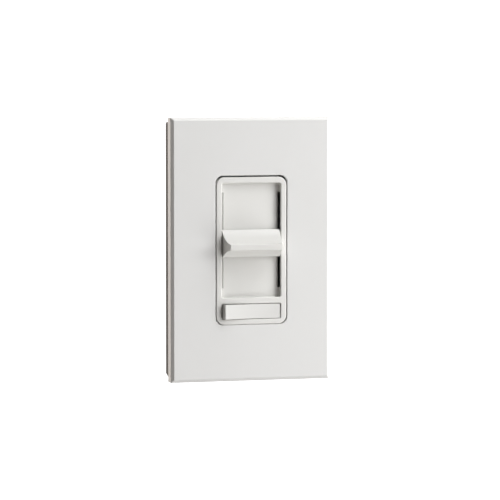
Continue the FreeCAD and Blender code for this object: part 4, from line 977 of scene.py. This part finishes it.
@dataclass
class EasedPart:
    """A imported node's own shape with its sharp corners eased, as moulding or stamping leaves them.

    Attributes:
        node: the node that it stands for.
        body: the body that it rides on.
        ease: the width taken off each sharp edge.
        steps: facets across it.
        crease: edges above this angle, in degrees, stay crisp.
        grooves: blocks cut from it first, as (low corner, high corner).
    """

    node: str
    body: Body
    ease: float = 0.1 * MM
    steps: int = 2
    crease: float = 40.0
    grooves: Sequence[tuple[Sequence[float], Sequence[float]]] = ()

    def build(self, shop: Workshop) -> None:
        """Make the piece and dress it in the node's finish.

        Args:
            shop: where the materials are.
        """
        name = f"{self.node}_finished"
        shape = bmesh.new()
        shape.from_mesh(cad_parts[self.node].data)
        bmesh.ops.remove_doubles(shape, verts=shape.verts, dist=0.002 * MM)
        bmesh.ops.dissolve_limit(shape, angle_limit=math.radians(0.6), verts=shape.verts, edges=shape.edges)
        piece = piece_from(mesh_of(shape, name), name)
        if self.grooves:
            carve(piece, blocks(self.grooves, "grooves"))
        bevel = piece.modifiers.new("ease", "BEVEL")
        bevel.width = self.ease
        bevel.segments = self.steps
        bevel.limit_method = "ANGLE"
        bevel.angle_limit = math.radians(32.0)
        bevel.use_clamp_overlap = False
        settle(piece)
        level(piece, self.crease)
        shop.finish_piece(piece, CAD_FINISHES[self.node], self.body, [self.node])


@dataclass(frozen=True)
class Screw:
    """One kind of screw.

    Attributes:
        head: radius of the head.
        tall: height of the head.
        radius: the thread's outer radius.
        neck: plain length behind the head.
        neck_radius: radius of that plain length.
        drive: the recess.
        pitch: distance between threads.
    """

    head: float
    tall: float
    radius: float
    neck: float
    neck_radius: float
    drive: Drive
    pitch: float = 0.794 * MM


NUMBER_6 = 1.7525 * MM
PLATE_SCREW = Screw(3.2 * MM, 2.3 * MM, NUMBER_6, 2.0 * MM, 1.5 * MM, Drive.COMBINED)
BOX_SCREW = Screw(3.2 * MM, 2.3 * MM, NUMBER_6, 1.5 * MM, 1.5 * MM, Drive.COMBINED)
EARTH_SCREW = Screw(3.6 * MM, 2.2 * MM, NUMBER_6, 0.3 * MM, 1.6 * MM, Drive.COMBINED)
TERMINAL_SCREW = Screw(3.6 * MM, 2.2 * MM, NUMBER_6, 0.3 * MM, 1.6 * MM, Drive.SLOT)
SHELL_SCREW = Screw(2.7 * MM, 2.2 * MM, 1.5 * MM, 14.0 * MM, 1.25 * MM, Drive.CROSS, 1.1 * MM)
THREAD_DEPTH = 0.4 * MM
HALF_SLOT = 0.42 * MM


@dataclass
class ScrewSet:
    """Screws of one kind that stand for one node.

    Attributes:
        name: the piece's name.
        node: the node that it stands for.
        kind: the kind of screw.
        places: the point on each screw's axis at its seat.
        direction: from the head to the tip.
        length: from the seat to the tip.
        rolls: how far each screw is turned, in degrees.
    """

    name: str
    node: str
    kind: Screw
    places: Sequence[Point]
    direction: Point
    length: float
    rolls: Sequence[float]

    def head(self) -> Item:
        """The head and neck, with the recess cut.

        Returns:
            A helper object that the tree copies.
        """
        kind = self.kind
        r, h = kind.head, kind.tall
        crown = 0.3 * h
        root = kind.neck + 0.2 * MM
        profile = [(0.0, -h), (r * 0.45, -h * 0.985)]
        for step in range(6):
            turn = math.radians(90.0 * step / 5)
            rise = crown * 0.35 + crown * (1.0 - math.cos(turn))
            profile.append((r - crown + crown * math.sin(turn), rise - h))
        profile += [(r, -0.12 * MM), (r - 0.12 * MM, 0.0), (kind.neck_radius, 0.0), (kind.neck_radius, root),
                    (0.0, root)]
        piece = piece_from(turned(profile, "head"), "head")
        across, inside, slot, deep = r * 1.2, r * 0.6, HALF_SLOT, h * 0.52
        cuts = {
            Drive.SLOT: [(across, slot, deep)],
            Drive.CROSS: [(inside, slot, deep), (slot, inside, deep)],
            Drive.COMBINED: [(inside, slot, deep), (slot, inside, deep), (across, slot * 0.8, deep * 0.7)],
        }
        for x, y, z in cuts[kind.drive]:
            carve(piece, blocks([((-x, -y, -h - MM), (x, y, z - h))], "slot"))
        return piece

    def build(self, shop: Workshop) -> None:
        """Make the screws and dress them.

        Args:
            shop: where the materials are.
        """
        mesh = bpy.data.meshes.new(self.name)
        mesh.from_pydata([tuple(place) for place in self.places], [], [])
        rolls = mesh.attributes.new("roll", "FLOAT", "POINT")
        for item, roll in zip(rolls.data, self.rolls):
            item.value = math.radians(roll)
        kind, head, finish = self.kind, self.head(), CAD_FINISHES[self.node]
        turn = Vector(self.direction).to_track_quat("Z", "Y").to_euler()
        piece = grow(self.name, "screws", mesh, Head=head, Radius=kind.radius, Depth=THREAD_DEPTH,
                     Pitch=kind.pitch, Start=kind.neck, Length=self.length - kind.neck, Turn=tuple(turn),
                     Finish=shop.material(finish))
        bpy.data.objects.remove(head)
        soften(piece, 38.0)
        shop.finish_piece(piece, finish, Body.BASE, [self.node])


def strap_screws(name: str, node: str, kind: Screw, rolls: Sequence[float]) -> ScrewSet:
    """The two screws on the device's upright middle line, sized from their node.

    Args:
        name: the piece's name.
        node: the node that it stands for.
        kind: the kind of screw.
        rolls: how far each is turned, in degrees.

    Returns:
        The set, ready to build.
    """
    low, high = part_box(node)
    places = [(0.0, low.y + kind.tall, side * (high.z - kind.head)) for side in (1, -1)]
    return ScrewSet(name, node, kind, places, (0, 1, 0), high.y - low.y - kind.tall, rolls)


# --- the object's sub-assemblies ----------------------------------------------
@dataclass
class Assembly:
    """A group of pieces that are made together.

    Attributes:
        shop: where the materials are.
    """

    shop: Workshop

    def ease(self, node: str, body: Body, width: float, *rest: Any, **more: Any) -> None:
        """Make a node's eased copy on a body, with the width taken off each sharp edge."""
        EasedPart(node, body, width, *rest, **more).build(self.shop)

    def build(self) -> None:
        """Make the pieces."""
        raise NotImplementedError


@dataclass
class CoverPlate(Assembly):
    """The snap-on plate, the sub-plate behind it and that plate's two screws.

    Attributes:
        wall: thickness of the front wall.
        skirt: thickness of the skirt.
        bevel_run: width of the bevel.
        bevel_drop: its depth.
        soft: radius of the eased edges.
        corner: radius of the skirt's upright corners.
        gap: between the opening and the device, left and right, on average.
        gap_z: the same above and below.
        opening_shift: the opening's middle right of the device's.
        opening_lift: the same, above it.
        opening_corner: corner radius of the opening.
        collar: thickness of the collar behind the opening.
        chamfer: width taken off the back edges.
        snap_at: the ridges' middles, left and right of the plate's.
        snap_half: half a ridge's length.
        snap_tall: how far a ridge stands out.
        snap_back: from the plate's back edge to a ridge's middle.
    """

    wall: float = 2.0 * MM
    skirt: float = 1.8 * MM
    bevel_run: float = 1.4 * MM
    bevel_drop: float = 1.0 * MM
    soft: float = 0.3 * MM
    corner: float = 0.45 * MM
    gap: float = 0.38 * MM
    gap_z: float = 0.42 * MM
    opening_shift: float = 0.14 * MM
    opening_lift: float = 0.28 * MM
    opening_corner: float = 3.3 * MM
    collar: float = 1.2 * MM
    chamfer: float = 0.12 * MM
    snap_at: float = 20.0 * MM
    snap_half: float = 4.0 * MM
    snap_tall: float = 0.9 * MM
    snap_back: float = 1.35 * MM

    def rings(self) -> list[list[Vector]]:
        """The plate's section, carried round it as rings.

        Returns:
            Rings from the skirt's back edge, over the front and back inside.
        """
        low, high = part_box("wall_plate")
        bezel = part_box("bezel_frame")[1]
        half_x, half_z, face, back = high.x, (high.z - low.z) / 2, low.y, high.y
        lift = (high.z + low.z) / 2
        shoulder = face + self.bevel_drop
        open_x, open_z, r = bezel.x + self.gap, bezel.z + self.gap_z, self.opening_corner
        lean = math.atan2(self.bevel_drop, self.bevel_run)
        rings = []

        def outer(inset: float, y: float) -> None:
            """Add a ring round the outside."""
            corner = max(self.corner - inset * 0.2, 0.06 * MM)
            rings.append(rounded_ring(half_x - inset, half_z - inset, corner, y, lift))

        def inner(out: float, y: float) -> None:
            """Add a ring round the opening."""
            ring = rounded_ring(open_x + out, open_z + out, r + out, y, self.opening_lift)
            rings.append([point + Vector((self.opening_shift, 0.0, 0.0)) for point in ring])

        outer(self.chamfer, back)
        outer(0.0, back - self.chamfer)
        trim = self.soft * math.tan((math.pi / 2 - lean) / 2)
        for step in range(5):
            turn = (math.pi / 2 - lean) * step / 4
            outer(self.soft * (1.0 - math.cos(turn)), shoulder + trim - self.soft * math.sin(turn))
        fold = self.soft * math.tan(lean / 2)
        for step in range(4):
            turn = lean * (1.0 - step / 3)
            dip = self.soft * (1.0 - math.cos(turn))
            outer(self.bevel_run + fold - self.soft * math.sin(turn), face + dip)
        for step in range(6):
            turn = math.pi / 2 * step / 5
            inner(self.soft * (1.0 - math.sin(turn)), face + self.soft * (1.0 - math.cos(turn)))
        inner(0.0, back - self.chamfer)
        inner(self.chamfer, back)
        inner(self.collar, back)
        inner(self.collar, face + self.wall)
        for y in (face + self.wall, back):
            rings.append(rounded_ring(half_x - self.skirt, half_z - self.skirt, 0.3 * MM, y, lift))
        return rings

    def snaps(self, mesh: Mesh) -> None:
        """Add the ridges that click over the sub-plate.

        Args:
            mesh: the plate's mesh, which gains them.
        """
        low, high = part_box("wall_plate")
        shape = bmesh.new()
        shape.from_mesh(mesh)
        middle = high.y - self.snap_back
        for side in (-1, 1):
            for x in (-self.snap_at, self.snap_at):
                wall = (high.z if side > 0 else low.z) - side * self.skirt
                root, top = wall + side * 0.2 * MM, wall - side * self.snap_tall
                corners = [(middle - 0.5 * MM, root), (middle + 0.5 * MM, root), (middle + 0.1 * MM, top),
                           (middle - 0.1 * MM, top)]
                ends = [[shape.verts.new((x + end * self.snap_half, y, z)) for y, z in corners]
                        for end in (-1, 1)]
                made = [shape.faces.new(ends[0]), shape.faces.new(ends[1])]
                for here in range(4):
                    after = (here + 1) % 4
                    side_face = (ends[0][here], ends[0][after], ends[1][after], ends[1][here])
                    made.append(shape.faces.new(side_face))
                bmesh.ops.recalc_face_normals(shape, faces=made)
        shape.to_mesh(mesh)
        shape.free()

    def build(self) -> None:
        """Make the plate, the sub-plate and the screws."""
        mesh = loft(self.rings(), "cover_plate")
        self.snaps(mesh)
        plate = piece_from(mesh, "cover_plate")
        level(plate, 30.0)
        self.shop.finish_piece(plate, PLATE_WHITE, Body.BASE, ["wall_plate"])
        self.ease("plate_adapter", Body.BASE, 0.12 * MM)
        strap_screws("plate_screws", "adapter_screws", PLATE_SCREW, (12.0, -31.0)).build(self.shop)


@dataclass
class DeviceFront(Assembly):
    """The rim with its window, the knob, its carriage and the two-way button.

    Attributes:
        edge: width taken off the edges of the rim and the button.
        edge_slider: the same for the sliding pieces.
        crease: the button's crease angle in degrees, below its shallow ridge's.
    """

    edge: float = 0.12 * MM
    edge_slider: float = 0.1 * MM
    crease: float = 9.5

    def build(self) -> None:
        """Make the mouldings."""
        self.ease("bezel_frame", Body.BASE, self.edge)
        self.ease("slider_knob", Body.SLIDER, self.edge_slider)
        self.ease("rocker_button", Body.ROCKER, self.edge, crease=self.crease)
        self.ease("slider_carriage", Body.SLIDER, self.edge_slider)


@dataclass
class StrapFrame(Assembly):
    """The metal strap with its scored ears, the box screws and the earth screw.

    Attributes:
        score: width of the scored lines.
        score_depth: their depth.
        score_at: their distance from the middle.
    """

    score: float = 0.35 * MM
    score_depth: float = 0.25 * MM
    score_at: float = 16.0 * MM

    def scores(self) -> list[tuple[Point, Point]]:
        """The scored lines where an ear can be snapped off.

        Returns:
            Blocks to cut from the strap's back.
        """
        inner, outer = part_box("rear_housing")[1].z + MM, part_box("mounting_strap")[1].z + MM
        half, spans = self.score / 2, []
        for side in (-1, 1):
            for x in (-self.score_at, self.score_at):
                low, high = sorted((side * inner, side * outer))
                spans.append(((x - half, -self.score_depth, low), (x + half, MM, high)))
        return spans

    def build(self) -> None:
        """Make the strap and its screws."""
        self.ease("mounting_strap", Body.BASE, 0.12 * MM, grooves=self.scores())
        strap_screws("device_screws", "box_screws", BOX_SCREW, (40.0, -8.0)).build(self.shop)
        low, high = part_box("ground_screw")
        tall, middle = EARTH_SCREW.tall, (low + high) / 2
        ScrewSet("earth_screw", "ground_screw", EARTH_SCREW, [(low.x + tall, middle.y, middle.z)], (1, 0, 0),
                 high.x - low.x - tall, (25.0,)).build(self.shop)


@dataclass
class BackShell(Assembly):
    """The black shell with its ribs, its four screws and the side terminals.

    Attributes:
        rib_count: ribs in each of the two rows.
        rib_step: from one rib to the next.
        rib_width: their width.
        terminal_reach: length of the terminal screws under the head.
    """

    rib_count: int = 8
    rib_step: float = 2.6 * MM
    rib_width: float = 0.9 * MM
    terminal_reach: float = 4.0 * MM

    def build(self) -> None:
        """Make the shell, ribs, screws and terminals."""
        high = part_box("rear_housing")[1]
        self.ease("rear_housing", Body.BASE, 0.15 * MM, 3)
        for side, name in ((1, "back_ribs_top"), (-1, "back_ribs_low")):
            ribs = grow(name, "ribs", Count=self.rib_count, Step=self.rib_step, Length=high.z * 0.5,
                        Width=self.rib_width, Place=(0.0, high.y, side * high.z * 0.58),
                        Finish=self.shop.material(HOUSING_BLACK))
            soften(ribs, 50.0)
            self.shop.finish_piece(ribs, HOUSING_BLACK, Body.BASE)
        low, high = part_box("housing_screws")
        head, seat = SHELL_SCREW.head, high.y - SHELL_SCREW.tall
        places = [(x * (high.x - head), seat, z * (high.z - head)) for x in (-1, 1) for z in (-1, 1)]
        ScrewSet("shell_screws", "housing_screws", SHELL_SCREW, places, (0, -1, 0),
                 high.y - low.y - SHELL_SCREW.tall, (15.0, 62.0, -20.0, 38.0)).build(self.shop)
        low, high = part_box("terminal_screws")
        middle, seat = (low + high) / 2, high.x - TERMINAL_SCREW.tall
        for side, name in ((-1, "left"), (1, "right")):
            ScrewSet(f"terminal_screw_{name}", "terminal_screws", TERMINAL_SCREW,
                     [(side * seat, middle.y, middle.z)], (-side, 0, 0), self.terminal_reach,
                     (34.0 * side,)).build(self.shop)
        for node in ("line_terminal", "load_terminal", "common_terminal"):
            self.ease(node, Body.BASE, 0.08 * MM)


@dataclass
class Electronics(Assembly):
    """The dimming circuit inside the shell.

    Attributes:
        turns: turns of wire round the choke.
        wire: the wire's radius.
        bore: radius of the choke ring's hole.
        first: where the winding starts, in degrees.
        sweep: how far round it goes, in degrees.
    """

    turns: float = 23.0
    wire: float = 0.4 * MM
    bore: float = 5.3 * MM
    first: float = 20.0
    sweep: float = 320.0

    def choke(self) -> None:
        """Wind one wire round the ring."""
        low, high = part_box("choke_core")
        outer = (high.x - low.x) / 2
        clear = self.wire + 0.08 * MM
        wire = grow("choke_wire", "winding", Middle=(outer + self.bore) / 2,
                    Across=(outer - self.bore) / 2 + clear, Deep=(high.y - low.y) / 2 + clear,
                    Turns=self.turns, First=math.radians(self.first), Sweep=math.radians(self.sweep),
                    Wire=self.wire, Place=tuple((low + high) / 2), Finish=self.shop.material(ENAMEL_WIRE))
        soften(wire, 60.0)
        self.shop.finish_piece(wire, ENAMEL_WIRE, Body.BASE, ["choke_winding"])

    def build(self) -> None:
        """Make the choke's wire and ease the stamped and moulded parts."""
        self.choke()
        for node, width in (("pot_cover", 0.15 * MM), ("triac", 0.2 * MM), ("choke_core", 0.25 * MM),
                            ("film_capacitors", 0.25 * MM), ("circuit_board", 0.06 * MM)):
            self.ease(node, Body.BASE, width, 3)


@dataclass
class SwitchGear(Assembly):
    """The plunger's spring and the rocking contact arm.

    Attributes:
        wire: radius of the spring's wire.
        turns: its turns.
    """

    wire: float = 0.22 * MM
    turns: float = 4.5

    def build(self) -> None:
        """Make the spring and ease the arm."""
        low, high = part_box("plunger_spring")
        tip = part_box("rocker_plunger")
        start, end = (low + high) / 2, (tip[0] + tip[1]) / 2
        axis = (end - start).normalized()
        reach = (high - low).y / 2 - self.wire
        radius = (high.z - low.z) / 2 - self.wire
        turn = axis.to_track_quat("Z", "Y").to_euler()
        coil = grow("plunger_coil", "coil", Radius=radius, Wire=self.wire, Turns=self.turns, Length=2 * reach,
                    Turn=tuple(turn), Place=tuple(start - axis * reach),
                    Finish=self.shop.material(SPRING_STEEL))
        soften(coil, 60.0)
        self.shop.finish_piece(coil, SPRING_STEEL, Body.ROCKER, ["plunger_spring"])
        self.ease("contact_arm", Body.ARM, 0.06 * MM)


# --- studio -------------------------------------------------------------------
@dataclass(frozen=True)
class Lamp:
    """A square soft lamp that faces the object.

    Attributes:
        name: its name.
        toward: from the object towards the lamp.
        size: its width.
        watts: its power.
        reach: its distance.
    """

    name: str
    toward: Point
    size: float
    watts: float
    reach: float = 1.3

    def hang(self) -> None:
        """Put the lamp in the scene."""
        data = bpy.data.lights.new(self.name, "AREA")
        data.size = self.size
        data.energy = self.watts
        lamp = bpy.data.objects.new(self.name, data)
        toward = Vector(self.toward).normalized()
        lamp.location = toward * self.reach
        lamp.rotation_euler = toward.to_track_quat("Z", "Y").to_euler()
        bpy.context.scene.collection.objects.link(lamp)


@dataclass
class Studio:
    """Camera, lamps, backdrop and floor.

    Attributes:
        azimuth: the camera's turn to the left of straight ahead, in degrees.
        elevation: its height angle, in degrees.
        distance: from the camera to the plate's face.
        lens: focal length in millimetres on a 36 mm sensor.
        aside: how far the face's centre lies right of the view's centre.
        above: how far it lies above the view's centre.
        lamps: the soft lamps.
        floor_drop: from the object's lowest point to the floor.
        floor_tone: how pale the floor is to the light that falls on it.
        floor_half: half the floor's width.
        back_light: strength of the light from behind the object.
        back_tint: its colour.
    """

    azimuth: float = -17.2
    elevation: float = 3.69
    distance: float = 1.45
    lens: float = 231.8
    aside: float = 0.00057
    above: float = 0.00029
    lamps: Sequence[Lamp] = (
        Lamp("key", (0.72, -0.58, 0.38), 0.45, 5.1),
        Lamp("side", (0.80, -0.465, 0.2), 0.5, 5.7),
        Lamp("top", (0.45, -0.42, 0.8), 0.7, 11.0),
        Lamp("low", (0.62, -0.5, -0.5), 0.6, 4.9, 0.9),
    )
    floor_drop: float = 0.8
    floor_tone: float = 0.35
    floor_half: float = 6.0
    back_light: float = 1.56
    back_tint: Colour = (1.0, 0.93, 0.87)

    def aim(self) -> None:
        """Place the camera."""
        turn, lift = math.radians(self.azimuth), math.radians(self.elevation)
        back = Vector((math.sin(turn) * math.cos(lift), -math.cos(turn) * math.cos(lift), math.sin(lift)))
        right = Vector((math.cos(turn), math.sin(turn), 0.0))
        up = back.cross(right)
        low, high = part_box("wall_plate")
        face = Vector((0.0, low.y, (low.z + high.z) / 2))
        data = bpy.data.cameras.new("camera")
        data.lens = self.lens
        data.sensor_width = 36.0
        data.clip_start = 0.05
        camera = bpy.data.objects.new("camera", data)
        camera.location = face + back * self.distance - right * self.aside - up * self.above
        camera.rotation_euler = Matrix((right, up, back)).transposed().to_euler()
        bpy.context.scene.collection.objects.link(camera)
        bpy.context.scene.camera = camera

    def surround(self) -> None:
        """A room that is bright behind the object and dim towards the viewer."""
        world = bpy.data.worlds.new("studio")
        bpy.context.scene.world = world
        world.use_nodes = True
        g = Graph(world.node_tree)
        background = world.node_tree.nodes["Background"]
        output = world.node_tree.nodes["World Output"]
        ray = g.add("ShaderNodeTexCoord").outputs["Generated"]
        away = g.add("ShaderNodeSeparateXYZ", {0: ray}).outputs["Y"]
        seen = g.add("ShaderNodeLightPath").outputs["Is Camera Ray"]
        strength = g.math("MAXIMUM", g.spread(away, -0.05, 0.12, 0.0, self.back_light), seen)
        tint = Finish.mixed(g, seen, rgba(self.back_tint), (1.0, 1.0, 1.0, 1.0))
        g.tree.links.new(tint, background.inputs["Color"])
        g.tree.links.new(strength, background.inputs["Strength"])
        g.tree.links.new(background.outputs[0], output.inputs[0])

    def floor(self) -> None:
        """A wide pale floor below the object, lit evenly where the camera sees it."""
        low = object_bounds()[0][2] - self.floor_drop
        half = self.floor_half
        mesh = bpy.data.meshes.new("floor")
        corners = [(-half, -half, low), (half, -half, low), (half, half, low), (-half, half, low)]
        mesh.from_pydata(corners, [], [(0, 1, 2, 3)])
        floor = piece_from(mesh, "floor")
        paint = bpy.data.materials.new("floor")
        paint.use_nodes = True
        shader = paint.node_tree.nodes["Principled BSDF"]
        shader.inputs["Base Color"].default_value = rgba((self.floor_tone,) * 3)
        shader.inputs["Roughness"].default_value = 0.9
        shader.inputs["Emission Color"].default_value = (1, 1, 1, 1)
        g = Graph(paint.node_tree)
        seen = g.add("ShaderNodeLightPath").outputs["Is Camera Ray"]
        g.tree.links.new(seen, shader.inputs["Emission Strength"])
        mesh.materials.append(paint)
        floor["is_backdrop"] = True

    def build(self) -> None:
        """Set the whole studio up."""
        scene = bpy.context.scene
        scene.view_settings.view_transform = "Standard"
        self.aim()
        self.surround()
        self.floor()
        for lamp in self.lamps:
            lamp.hang()
        LOG.info("studio ready")


def main() -> None:
    """Build the looks, piece by piece."""
    logging.basicConfig(level=logging.INFO, format="%(name)s: %(message)s")
    shop = Workshop()
    for node, finish in CAD_FINISHES.items():
        shop.dress(node, finish)
    for assembly in (CoverPlate, DeviceFront, StrapFrame, BackShell, Electronics, SwitchGear):
        assembly(shop).build()
    Studio().build()


if __name__ == "__main__":
    main()
